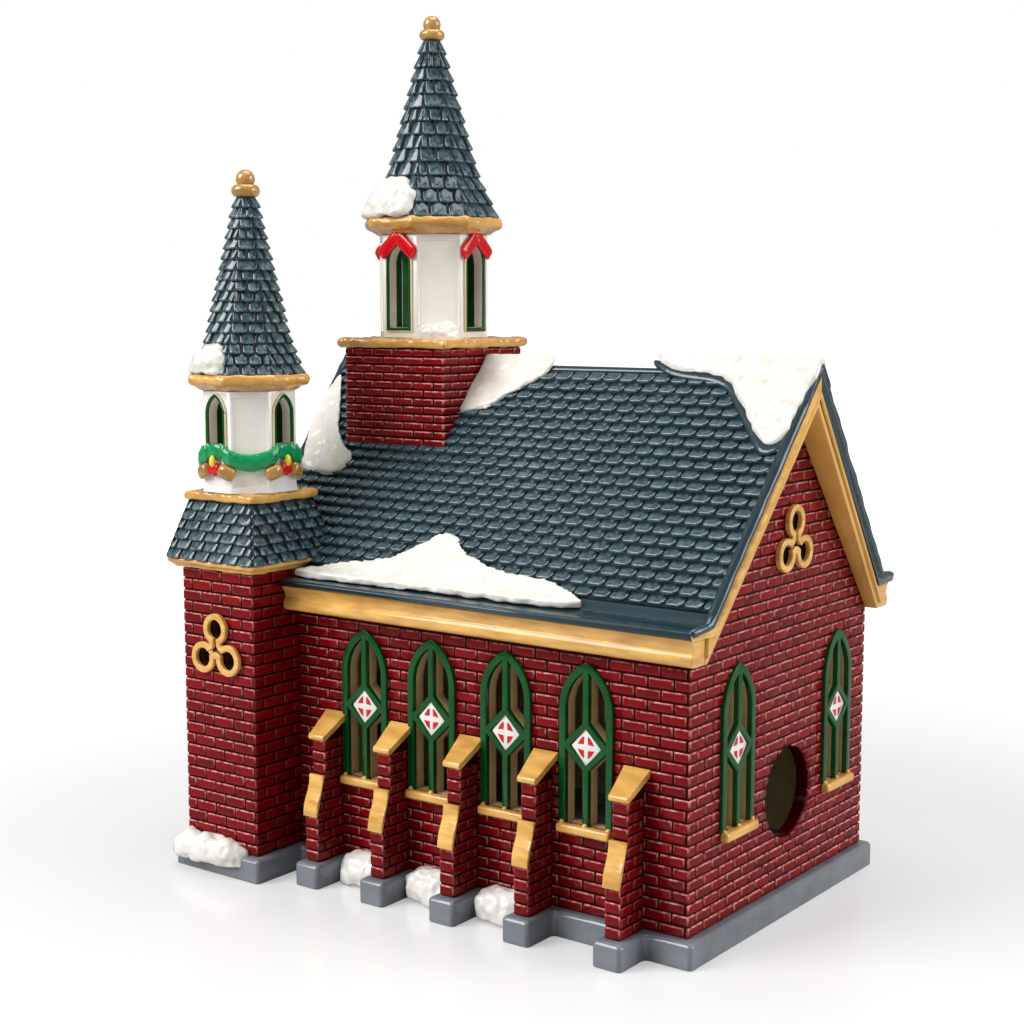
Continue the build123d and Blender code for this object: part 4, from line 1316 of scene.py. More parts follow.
    def buttress(self, node: str, side: int) -> BrickPiece:
        """Pier with a brick per course on the fronts of its two stages; a far node holds all five.

        Args:
            node: Solid of the pier or piers.
            side: Which long wall it stands at.

        Returns:
            The piece.
        """
        faces = []
        nodes = [node] if side < 0 else [f"near_buttress_{k}" for k in range(1, 6)]
        for number, place in enumerate(middle_of(name)[0] for name in nodes):
            for depth, foot, head in self.pier_stages:
                matrix = face_matrix(Vector((place, side * (self.half_width + depth), 0)), Vector((0, side, 0)))
                faces.append(BrickFace(matrix, -self.pier_half, self.pier_half, foot, head,
                                       brick=2 * self.pier_half, seed=61 + number, staggered=False))
            faces.extend(self.flank(place, side, turn, 71 + number) for turn in (-1, 1))
        return BrickPiece(node, faces)

    def flank(self, place: float, side: int, turn: int, seed: int) -> BrickFace:
        """Bricks on one cheek of a pier.

        Args:
            place: Middle of the pier along the wall.
            side: Which long wall it stands at.
            turn: Which way the cheek faces along the wall.
            seed: Seed of its irregularities.

        Returns:
            The brick face.
        """
        (_, foot, lower), (_, upper, head) = self.pier_stages

        def limits(height: float) -> Point:
            """Reach of the cheek from the wall at a height.

            Args:
                height: The height.

            Returns:
                Its left and right end.
            """
            share = min(max((height - lower) / (upper - lower), 0), 1)
            depth = self.cheek[0] + (self.cheek[1] - self.cheek[0]) * share
            return (0.0, depth) if side * turn > 0 else (-depth, 0.0)

        origin = Vector((place + turn * self.pier_half, side * self.half_width, 0))
        # The cheeks' bricks get weaker light edges, less painted highlight than the fronts.
        return BrickFace(face_matrix(origin, Vector((turn, 0, 0))), *limits(0), foot, head, brick=6.2,
                         limits=limits, seed=seed, edge_highlight=self.cheek_highlight)


# Shingled roofs


@dataclass
class Shingles:
    """Main roof, skirt roof and the two spires, tab by tab."""

    half_length: float = 76.8
    kink_reach: float = 50.45
    kink: float = 91.0
    ridge: float = 154.0
    courses: int = 23
    step: float = 0.9
    pitch: float = 5.7
    ridge_overhang: float = 10.0
    eave_overhang: float = 5.6
    eave_out: float = 59.65
    margin: float = 1.7
    least: float = 1.6
    gap: float = 0.5
    jog: float = 0.12
    sunk: float = 0.9
    tab_inset: float = 0.45
    core: float = 3.0
    butt_drop: float = 0.3
    overlap: Point = (0.6, 0.5)
    spire_least: float = 0.9
    hidden_inset: float = 2.0
    lip: Point = (1.65, 0.5)
    lip_inset: float = 0.1
    lip_play: Point = (-0.2, 0.04)
    lip_steps: int = 26
    lip_stop: float = 35.5
    ledge_lip: Point = (1.2, 0.55)
    ledge_inset: float = 0.15
    ledge_lip_ends: tuple[Point, ...] = ((0.25, 1.0), (0.55, 1.0), (0.8, 1.0), (0.92, 0.85), (0.98, 0.55),
                                         (1.0, 0.2))
    ledge_fall: float = 1.1
    around: int = 12
    thin: float = 0.9
    crown: float = 0.32
    end_draw: float = 0.8
    end_play: float = 0.15
    cove_line: tuple[Point, ...] = ((48.9, 92.98), (49.9, 91.85), (50.7, 91.15), (51.6, 90.72), (52.7, 90.44),
                                    (54.2, 90.2), (54.0, 89.4), (49.4, 89.8))
    cove_start: float = -61.0
    cove_inset: float = 1.5

    def build(self) -> None:
        """Make every shingled piece."""
        self.stamp = TabStamp().make()
        self.slope("near_roof_slope", -1)
        self.slope("far_roof_slope", 1)
        self.spire("turret_spire", 8, 17, (16.6, 12.8, 3.4), 10.0, 4.3)
        self.spire("belfry_spire", 8, 13, (19.9, 14.2, 3.2), 12.2, 4.9)
        self.spire("tower_skirt_roof", 4, 6, (18.55, 16.0, 13.4), 8.6, 6.0)

    def dressed(self, node: str, pile: Pile, axis: Point | None = None, lips: Sequence[Object] = ()) -> None:
        """Join tabs to a copy of their solid and finish it.

        Args:
            node: Solid of the roof.
            pile: Its tabs.
            axis: Place of the middle of a small roof, whose body is drawn in under its tabs.
            lips: Rounded edges of a slope, whose ends are drawn in behind them.
        """
        body = node_copy(node, "_shingles")
        for vertex in body.data.vertices:
            if axis:
                x, y = vertex.co.x - axis[0] * MM, vertex.co.y - axis[1] * MM
                share = self.sunk * MM / max(abs(x), abs(y), self.core * MM)
                vertex.co.x -= x * share
                vertex.co.y -= y * share
            elif abs(vertex.co.x) > (self.end_reach(abs(vertex.co.y) / MM) - self.end_play) * MM:
                vertex.co.x -= math.copysign(self.end_draw * MM, vertex.co.x)
        tabs = pile.build(node + "_tabs")
        for part in (body, tabs, *lips):
            # Spires and the skirt roof take the darker copy of the slate, painted shade.
            dress(part, LEDGE, SLATE if lips else SHADED_SPIRE_SLATE, GOLD)
        if node == "near_roof_slope":
            paint(body, 2, lambda c, n: abs(n.x) > 0.7 and abs(c.x) > self.half_length * MM)
        paint(tabs, 1)
        settle(join(body, tabs, *lips), node, 45)

    def lips(self, side: int) -> list[Object]:
        """Rounded edge up each end of a slope, a little uneven, and a cove over its ledge.

        Args:
            side: Which slope.

        Returns:
            The new objects.
        """
        ends = (self.cove_start if side < 0 else self.cove_inset - self.end_reach(self.kink_reach),
                self.end_reach(self.kink_reach) - self.cove_inset)
        made = [swept("cove", [[Vector((x, side * y, z)) for y, z in self.cove_line] for x in ends])]
        turns = [math.tau * step / self.around for step in range(self.around)]
        for end in (-1, 1):
            dice = random.Random(91 + side + 2 * end)
            cut_short = end < 0 and side < 0
            stop = self.lip_stop if cut_short else self.kink_reach
            path = [(stop * k / self.lip_steps, *self.lip, 1 + dice.uniform(*self.lip_play))
                    for k in range(self.lip_steps + 1)]
            for share, size in () if cut_short else self.ledge_lip_ends:
                y = self.kink_reach + (self.eave_out - self.ledge_inset - self.kink_reach) * share
                path.append((y, *self.ledge_lip, size))
            centres = [Vector((end * (self.end_reach(y) - self.lip_inset - radius), side * y,
                               self.slope_height(y) - drop)) for y, radius, drop, _ in path]
            rings = []
            for k, (_, radius, _, size) in enumerate(path):
                run = centres[min(k + 1, len(path) - 1)] - centres[max(k - 1, 0)]
                up = Vector((1, 0, 0)).cross(run).normalized()
                spokes = [Vector((math.cos(turn), 0, 0)) + up * math.sin(turn) for turn in turns]
                rings.append([centres[k] + radius * size * spoke for spoke in spokes])
            made.append(swept("lip", rings))
        return made

    def end_reach(self, y: float) -> float:
        """How far a slope reaches along X at a distance from the ridge."""
        drawn = (self.ridge_overhang - self.eave_overhang) * y / self.eave_out
        return self.half_length + self.ridge_overhang - drawn

    def slope_height(self, y: float) -> float:
        """Height of a slope and its ledge at a distance from the ridge.

        Args:
            y: The distance.

        Returns:
            The height.
        """
        if y <= self.kink_reach:
            return self.ridge - (self.ridge - self.kink) * y / self.kink_reach
        return self.kink - self.ledge_fall * (y - self.kink_reach) / (self.eave_out - self.kink_reach)

    def tab(self, pile: Pile, matrix: Matrix, x0: float, x1: float, length: float, dice: random.Random,
            thick: float = 1.0, crown: float = 0.0) -> None:
        """Lay one tab between two places along its course.

        Args:
            pile: Takes the tab.
            matrix: Course frame: x along, y up the slope from the butt, z outwards.
            x0: Left end.
            x1: Right end.
            length: Length up the slope.
            dice: Source of the small irregularities.
            thick: Share of the full thickness.
            crown: Fall of the tab from its middle to its sides.
        """
        width = x1 - x0 - self.gap
        local = self.stamp.stretched(width * MM, length * MM)
        local[:, 2] -= crown * MM * (local[:, 0] / (width / 2 * MM)) ** 2
        local[:, 1] += (length / 2 - self.butt_drop + dice.uniform(-self.jog, self.jog)) * MM
        local[:, 0] += (x0 + x1) / 2 * MM
        local[:, 2] *= thick * (1 + dice.uniform(-self.jog, self.jog))
        pile.add(self.stamp, local, matrix, dice.random())

    def slope(self, node: str, side: int) -> None:
        """One slope of the main roof.

        Args:
            node: Solid of the slope.
            side: Which way it faces along Y.
        """
        pile, dice = Pile(), random.Random(71 + side)
        pitch = math.atan2(self.ridge - self.kink, self.kink_reach)
        inner = Vector((0, -side * math.sin(pitch) * self.step, -math.cos(pitch) * self.step))
        along = Vector((-side, 0, 0))
        boxes = [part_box(name) for name in ("tower_shaft", "steeple_base")]
        butts = [Vector((0, side * self.kink_reach * k / self.courses,
                         self.ridge - (self.ridge - self.kink) * k / self.courses))
                 for k in range(self.courses)]
        for course in range(2, self.courses):
            butt, head = butts[course], butts[course - 1] + inner
            up = (head - butt).normalized()
            matrix = basis(along, up, along.cross(up), butt)
            reach = self.end_reach(abs(butt.y)) - self.margin
            start = -reach - (self.pitch / 2 if course % 2 else 0)
            for k in range(math.ceil((reach - start) / self.pitch)):
                x0 = max(-reach, start + k * self.pitch)
                x1 = min(reach, start + (k + 1) * self.pitch)
                x0 = -reach if x0 + reach < self.least else x0
                x1 = reach if reach - x1 < self.least else x1
                middle = -side * (x0 + x1) / 2 * MM
                if x1 - x0 >= self.least and not self.hidden(boxes, middle, butt.y * MM):
                    self.tab(pile, matrix, x0, x1, (head - butt).length + self.overlap[0], dice)
        self.dressed(node, pile, lips=self.lips(side))

    def hidden(self, boxes: Sequence[tuple], x: float, y: float) -> bool:
        """Whether a plan point lies well inside one of some boxes."""
        inset = self.hidden_inset * MM
        return any(low[0] + inset < x < high[0] - inset and low[1] < y < high[1] - inset for low, high in boxes)

    def spire(self, node: str, sides: int, courses: int, apothems: Triple, waist: float, pitch: float) -> None:
        """Tabs on a polygonal roof.

        Args:
            node: Solid of the roof.
            sides: Number of its flats.
            courses: Number of its courses.
            apothems: Half widths at the foot, the waist and the tip.
            waist: Rise of the waist over the foot.
            pitch: Width of a tab.
        """
        foot, top = (corner[2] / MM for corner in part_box(node))
        axis = TOWER if sides == 4 else middle_of(node)
        crown = 0.0 if sides == 4 else self.crown
        pile, dice = Pile(), random.Random(81 + courses)

        def apothem(height: float) -> float:
            """Half width of the plain form at a height.

            Args:
                height: The height.

            Returns:
                The half width.
            """
            rise = height - foot
            if rise <= waist:
                return apothems[0] + (apothems[1] - apothems[0]) * rise / waist
            return apothems[1] + (apothems[2] - apothems[1]) * (rise - waist) / (top - foot - waist)

        for number in range(courses):
            lower, upper = (foot + (top - foot) * k / courses for k in (number, number + 1))
            reach = apothem(lower) - self.tab_inset
            flat = 2 * reach * math.tan(math.pi / sides)
            count = max(1, round(flat / pitch))
            width = flat / count
            lean = reach - apothem(upper) + self.sunk
            start = -flat / 2 - (width / 2 if number % 2 else 0)
            for flank in range(sides):
                out, along = compass(360 * flank / sides)
                up = (UP * (upper - lower) - out * lean).normalized()
                matrix = basis(along, up, along.cross(up), Vector((*axis, lower)) + out * reach)
                for k in range(count + number % 2):
                    x0, x1 = max(-flat / 2, start + k * width), min(flat / 2, start + (k + 1) * width)
                    if x1 - x0 > self.spire_least:
                        length = math.hypot(upper - lower, lean) + self.overlap[1]
                        self.tab(pile, matrix, x0, x1, length, dice, self.thin, crown)
        self.dressed(node, pile, axis)


# Windows


@dataclass
class Windows:
    """Green lancet windows with a diamond medallion and a gold sill."""

    half: float = 8.587
    bar: float = 2.1
    proud: float = 0.8
    soft: float = 0.7
    glazed: float = 1.5
    sill_soft: float = 0.5
    foot: float = 0.85
    foot_out: float = 0.7
    diamond: float = 7.4
    diamond_bar: float = 1.7
    diamond_share: float = 0.484
    pane_fit: Point = (0.93, 1.04)
    plate: float = 1.8
    plate_sunk: float = 0.4
    wedge: tuple[Point, ...] = ((0.14, 0.16), (0.56, 0.13), (0.42, 0.34), (0.27, 0.5), (0.12, 0.58))
    wedge_depth: float = 0.3
    wedge_out: float = 1.68
    wall: Point = (76.8, 51.25)

    def build(self) -> None:
        """Make every window with its medallion."""
        far = []
        panes = []
        for name in [f"near_window_{k}" for k in range(1, 5)]:
            middle = middle_of(name)[0]
            near, away = (face_matrix(Vector((middle, side * self.wall[1], 0)), Vector((0, side, 0)))
                          for side in (-1, 1))
            self.frame(name, near)
            panes.append(near)
            far.append(away)
        self.frame("far_windows", far[0])
        panes.extend(far)
        for name in ("rear_window_near", "rear_window_far"):
            panes.append(face_matrix(Vector((self.wall[0], middle_of(name)[1], 0)), Vector((1, 0, 0))))
            self.frame(name, panes[-1])
        low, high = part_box("rear_window_far")
        self.medallions(panes, low[2] / MM + self.diamond_share * (high[2] - low[2]) / MM)
        self.sills(panes)

    def sills(self, places: Sequence[Matrix]) -> None:
        """Gold sills with a small foot under each bar.

        Args:
            places: The windows' faces.
        """
        obj = node_copy("window_sills", "_soft")
        bevel(obj, self.sill_soft)
        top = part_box("window_sills")[1][2]
        drop = primitive("uv_sphere", "foot", segments=12, ring_count=8, radius=self.foot * MM)
        bar = self.half - self.bar / 2
        feet = [placed(drop, matrix @ Matrix.Translation((x * MM, top, self.foot_out * MM)))
                for matrix in places for x in (-bar, 0, bar)]
        bpy.data.objects.remove(drop)
        join(obj, *feet)
        dress(obj, GOLD)
        settle(obj, "window_sills", 45)

    def frame(self, node: str, matrix: Matrix) -> None:
        """Tracery with rounded bars, bare clay on the sides of its bars.

        Args:
            node: Solid of the window.
            matrix: Place on the wall's face.
        """
        obj = node_copy(node, "_tracery")
        bevel(obj, self.soft, degrees=40)
        level = (self.proud - self.glazed) * MM
        slice_at(obj, matrix @ Vector((0, 0, level)), matrix.to_3x3().col[2])
        dress(obj, GREEN, BISQUE)
        away = matrix.inverted()
        paint(obj, 1, lambda c, n: (away @ c).z < level)
        settle(obj, node, 35)

    def medallions(self, places: Sequence[Matrix], height: float) -> None:
        """White diamonds with red quarters round a cross, on every window.

        Args:
            places: The windows' faces.
            height: Height of the diamonds' middle.
        """
        outer = self.half - self.bar / 2
        share = 1 - self.diamond_bar * math.hypot(outer, self.diamond) / (outer * self.diamond)
        x, y = outer * share * self.pane_fit[0], self.diamond * share * self.pane_fit[1]
        plate = prism("medallion", [(x, 0), (0, y), (-x, 0), (0, -y)], self.plate)
        bevel(plate, 0.25, segments=2, degrees=30)
        wedge = prism("quarter", [(x * along, y * up) for along, up in self.wedge], self.wedge_depth)
        bevel(wedge, 0.12, segments=2, degrees=30)
        for part in (plate, wedge):
            dress(part, WARM, RED)
        paint(wedge, 1)
        pieces = []
        for matrix in places:
            out = self.proud - self.plate_sunk - self.plate
            spot = matrix @ Matrix.Translation((0, height * MM, out * MM))
            pieces.append(placed(plate, spot))
            for sx, sy in ((1, 1), (-1, 1), (-1, -1), (1, -1)):
                lift = Matrix.Translation((0, 0, self.wedge_out * MM))
                pieces.append(placed(wedge, spot @ lift @ Matrix.Diagonal((sx, sy, 1, 1))))
                if sx * sy < 0:
                    pieces[-1].data.flip_normals()
        for source in (plate, wedge):
            bpy.data.objects.remove(source)
        settle(join(*pieces, name="diamond_medallions"), "window_medallions", 35)


# Trim, drums, ornaments and snow


@dataclass
class SoftPieces:
    """Solids that keep their form and only get softened edges and a finish."""

    jobs: tuple[tuple[str, Finish, Glaze, float], ...] = (
        ("plinth", GREY, Glaze.GREY, 1.3),
        ("near_eave_fascia", GOLD, Glaze.GOLD, 0.35),
        ("far_eave_fascia", GOLD, Glaze.GOLD, 0.35),
        ("rear_rake_trim", RAKE, Glaze.GOLD, 0.3),
        ("front_rake_trim", RAKE, Glaze.GOLD, 0.3),
        ("near_buttress_caps", GOLD, Glaze.GOLD, 0.7),
        ("far_buttress_caps", GOLD, Glaze.GOLD, 0.7),
        ("door_surround", GOLD, Glaze.GOLD, 0.4),
        ("door_leaves", GREEN, Glaze.GREEN, 0.3),
        ("tower_cornice", GOLD, Glaze.GOLD, 0.4),
        ("tower_cap_slab", OCHRE, Glaze.GOLD, 0.9),
        ("turret_cornice", OCHRE, Glaze.GOLD, 0.4),
        ("turret_finial", BRONZE, Glaze.GOLD, 0.15),
        ("steeple_cap_slab", OCHRE, Glaze.GOLD, 0.9),
        ("belfry_cornice", OCHRE, Glaze.GOLD, 0.4),
        ("belfry_finial", BRONZE, Glaze.GOLD, 0.15),
    )
    uneven: tuple[str, ...] = ("cornice", "slab")

    def build(self) -> None:
        """Soften every piece and give mouldings the uneven run of hand-finished clay."""
        for node, finish, glaze, width in self.jobs:
            obj = node_copy(node, "_soft")
            bevel(obj, width)
            if node.endswith(self.uneven):
                melt(obj, voxel=0.45, factor=0.5, rounds=3)
                lumps(obj, grain=4.0, height=0.9, level=0.6)
                keep_inside(obj)
            dress(obj, finish)
            settle(obj, node, 180 if node.endswith(self.uneven) else 40)


@dataclass
class Drums:
    """White octagonal drums with sunk panels, deep lancets and two-coloured rims."""

    apothems: tuple[tuple[str, float], ...] = (("turret", 13.6), ("belfry", 16.2))
    soft: float = 0.2
    rim_soft: float = 0.42
    rim_turn: float = 0.25
    panel: float = 0.3
    reveal: float = 0.75
    lit: float = 3.0

    def build(self) -> None:
        """Make both drums with their rims."""
        for name, apothem in self.apothems:
            middle = Vector((*middle_of(f"{name}_drum"), 0)) * MM
            self.drum(f"{name}_drum", middle, apothem * MM)
            self.rims(f"{name}_lancet_frames", middle)

    def drum(self, node: str, middle: Vector, apothem: float) -> None:
        """Drum with white flats, cream panels, clay reveals and a green inside darkened as painted shade, which
        also covers the deep faces and the far sides' reveals.

        Args:
            node: Solid of the drum.
            middle: Its axis.
            apothem: Half its width over the flats, in metres.
        """
        obj = node_copy(node, "_soft")
        bevel(obj, self.soft, segments=2)
        # Cut at the lit depth, where the painted shade inside starts.
        for turn in QUARTERS:
            out = compass(turn)[0]
            slice_at(obj, middle + out * (apothem - self.lit * MM), out)
        dress(obj, WARM, PANEL, REVEAL, HOLLOW)
        for face in obj.data.polygons:
            place = face.center - middle
            x, y = abs(place.x), abs(place.y)
            depth = (apothem - max(x, y, (x + y) / math.sqrt(2))) / MM
            inwards = face.normal.x * place.x + face.normal.y * place.y < -0.5 * math.hypot(x, y)
            # Painted shade: the inside, faces deeper than the lit depth and the reveals of the far sides take
            # the dark green.
            away = place.x < 0 and x > y or place.y > 0 and y > x
            if inwards or depth > self.lit or (away and depth > self.reveal):
                face.material_index = 3
            elif depth > self.panel:
                face.material_index = 2 if depth > self.reveal else 1
        settle(obj, node)

    def rims(self, node: str, middle: Vector) -> None:
        """Green lancet rims with a cream outer edge.

        Args:
            node: Solid of the rims.
            middle: Axis of the drum.
        """
        obj = node_copy(node, "_soft")
        bevel(obj, self.rim_soft, segments=2)
        dress(obj, GREEN, CREAM)
        level = sum(corner[2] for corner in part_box(node)) / 2

        def outer(centre: Vector, normal: Vector) -> bool:
            """Whether a face looks away from the middle of its lancet.

            Args:
                centre: Its middle.
                normal: Its normal.

            Returns:
                True if it does.
            """
            place = centre - middle
            axis = 0 if abs(place.x) < abs(place.y) else 1
            if abs(normal[axis]) > abs(normal.z):
                return normal[axis] * math.copysign(1, place[axis]) > self.rim_turn
            return normal.z * math.copysign(1, centre.z - level) > self.rim_turn

        paint(obj, 1, outer)
        settle(obj, node)


@dataclass
class Blooms:
    """Red flowers, yellow buds and gold bells under the turret's lancets."""

    apothem: float = 13.6
    lift: float = 1.3
    petal: Triple = (1.3, 0.85, 2.1)
    petal_turns: Triple = (-38.0, 0.0, 38.0)
    petal_out: float = 1.15
    petal_drop: Point = (0.9, 1.6)
    bud: Triple = (1.15, 0.85, 1.75)
    bud_out: float = 2.0
    bell: Triple = (2.2, 1.8, 2.8)
    bell_turn: float = 68.0
    bell_draw: float = 0.8
    bell_square: float = 0.62

    def build(self) -> None:
        """Make the flowers, the buds and the bells."""
        level = sum(corner[2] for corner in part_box("turret_buds")) / 2 / MM + self.lift
        root = Vector((*TOWER, level))
        petals, buds = [], []
        for turn in QUARTERS:
            out, along = compass(turn)
            buds.append(pebble("bud", root + out * (self.apothem + self.bud_out), self.bud, out, UP))
            for lean in self.petal_turns:
                down = hang(along, lean)
                place = root + out * (self.apothem + self.petal_out) - UP * self.petal_drop[0]
                petals.append(pebble("petal", place + down * self.petal_drop[1], self.petal, out, down))
        for parts, name, finish, glaze, node in (
                (petals, "flower_petals", RED, Glaze.RED, "turret_flowers"),
                (buds, "flower_buds", YELLOW, Glaze.YELLOW, "turret_buds"),
                (self.bells(), "barrel_bells", BRONZE, Glaze.GOLD, "turret_bells")):
            obj = join(*parts, name=name)
            dress(obj, finish)
            settle(obj, node, 60)

    def bells(self) -> list[Object]:
        """Barrel bells, one where each solid bell is.

        Returns:
            The bells.
        """
        made = []
        for part in loose_parts(node_copy("turret_bells", "_parts")):
            corners = [vertex.co for vertex in part.data.vertices]
            place = sum(corners, Vector()) / len(corners) / MM
            bpy.data.objects.remove(part)
            x, y = place.x - TOWER[0], place.y - TOWER[1]
            angle = math.degrees(math.atan2(y, x))
            lancet_turn = round(angle / 90) * 90
            out, along = compass(lancet_turn + (angle - lancet_turn) * self.bell_draw)
            place = Vector((*TOWER, place.z + self.lift)) + out * math.hypot(x, y)
            axis = hang(along * math.copysign(1, angle - lancet_turn), self.bell_turn)
            made.append(pebble("bell", place, self.bell, out, axis, self.bell_square))
        return made


@dataclass
class Garland:
    """Draped green swags round the turret that end in hanging leaves."""

    apothem: float = 13.6
    spread: float = 33.0
    sag: float = 3.25
    depth: float = 1.35
    tall: Point = (2.65, 2.2)
    steps: tuple[int, int] = (28, 14)
    leaf: Triple = (1.45, 0.95, 3.3)
    leaf_place: float = 3.7
    leaf_out: float = 0.7
    leaf_hang: float = 0.85
    lie: float = 0.4
    leaf_lean: float = 16.0
    knot: Triple = (3.2, 0.9, 2.6)
    lift: float = 1.5
    voxel: float = 0.3

    def build(self) -> None:
        """Make the whole garland as one piece."""
        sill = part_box("turret_lancet_frames")[0][2] / MM + self.lift
        parts = []
        for turn in QUARTERS:
            parts.append(self.swag(turn + OCTANT, sill))
            parts.extend(self.leaves(turn, sill))
        obj = join(*parts, name="draped_garland")
        melt(obj, self.voxel, factor=0.5, rounds=5)
        lumps(obj, grain=1.6, height=0.35, level=0.5)
        dress(obj, EMERALD)
        settle(obj, "turret_garland", 180)

    def swag(self, turn: float, sill: float) -> Object:
        """One hanging length between two lancets.

        Args:
            turn: Direction of its middle in degrees.
            sill: Height of the lancets' feet.

        Returns:
            A closed tube.
        """
        count, around = self.steps
        rings = []
        for k in range(count + 1):
            share = 2 * k / count - 1
            degrees = turn + share * self.spread
            off = (degrees + OCTANT / 2) % OCTANT - OCTANT / 2
            skin = self.apothem / math.cos(math.radians(off)) + self.lie * self.depth
            tall = self.tall[1] + (self.tall[0] - self.tall[1]) * (1 - share ** 2)
            middle = sill - self.tall[1] - self.sag * (1 - share ** 2)
            bends = [math.tau * step / around for step in range(around)]
            rings.append([Vector((*TOWER, middle + tall * math.sin(bend)))
                          + compass(degrees)[0] * (skin + self.depth * math.cos(bend)) for bend in bends])
        return swept("swag", rings)

    def leaves(self, turn: float, sill: float) -> list[Object]:
        """Two leaves that hang from a knot at the foot of a lancet.

        Args:
            turn: Direction of the lancet in degrees.
            sill: Height of the lancets' feet.

        Returns:
            The new objects.
        """
        made = []
        out, along = compass(turn)
        for side in (-1, 0, 1):
            size = self.leaf if side else self.knot
            place = Vector((*TOWER, sill - self.leaf_hang * size[2]))
            place += out * (self.apothem + self.leaf_out) + along * side * self.leaf_place
            made.append(pebble("leaf", place, size, out, -hang(along, side * self.leaf_lean)))
        return made


@dataclass
class Ornaments:
    """Bows and trefoils, rounded over."""

    voxel: float = 0.24
    swell: float = 0.05
    knot: Triple = (1.4, 0.9, 1.2)
    knot_drop: float = 0.3
    tail: Triple = (2.1, 0.75, 4.9)
    tail_drop: float = 4.1
    tail_leans: Point = (-50.0, 50.0)
    tail_square: float = 0.4
    belfry_reach: float = 17.2

    def build(self) -> None:
        """Tie the bows, then round, swell and dress the trefoils."""
        self.bows()
        for node in ("gable_trefoils", "tower_trefoils"):
            obj = node_copy(node, "_round")
            melt(obj, self.voxel, factor=0.6, rounds=3)
            modify(obj, "DISPLACE", mid_level=0.0, strength=self.swell * MM)
            dress(obj, GOLD)
            settle(obj, node, 180)

    def bows(self) -> None:
        """Two ribbon tails from one knot over each lancet of the belfry."""
        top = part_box("belfry_bows")[1][2] / MM
        parts = []
        for turn in QUARTERS:
            out, along = compass(turn)
            place = Vector((*STEEPLE, top - self.knot_drop)) + out * self.belfry_reach
            parts.append(pebble("knot", place, self.knot, out, UP))
            for down in (hang(along, lean) for lean in self.tail_leans):
                spot = place + down * self.tail_drop
                parts.append(pebble("tail", spot, self.tail, out, down, self.tail_square))
        obj = join(*parts, name="ribbon_bows")
        dress(obj, RED)
        settle(obj, "belfry_bows", 60)


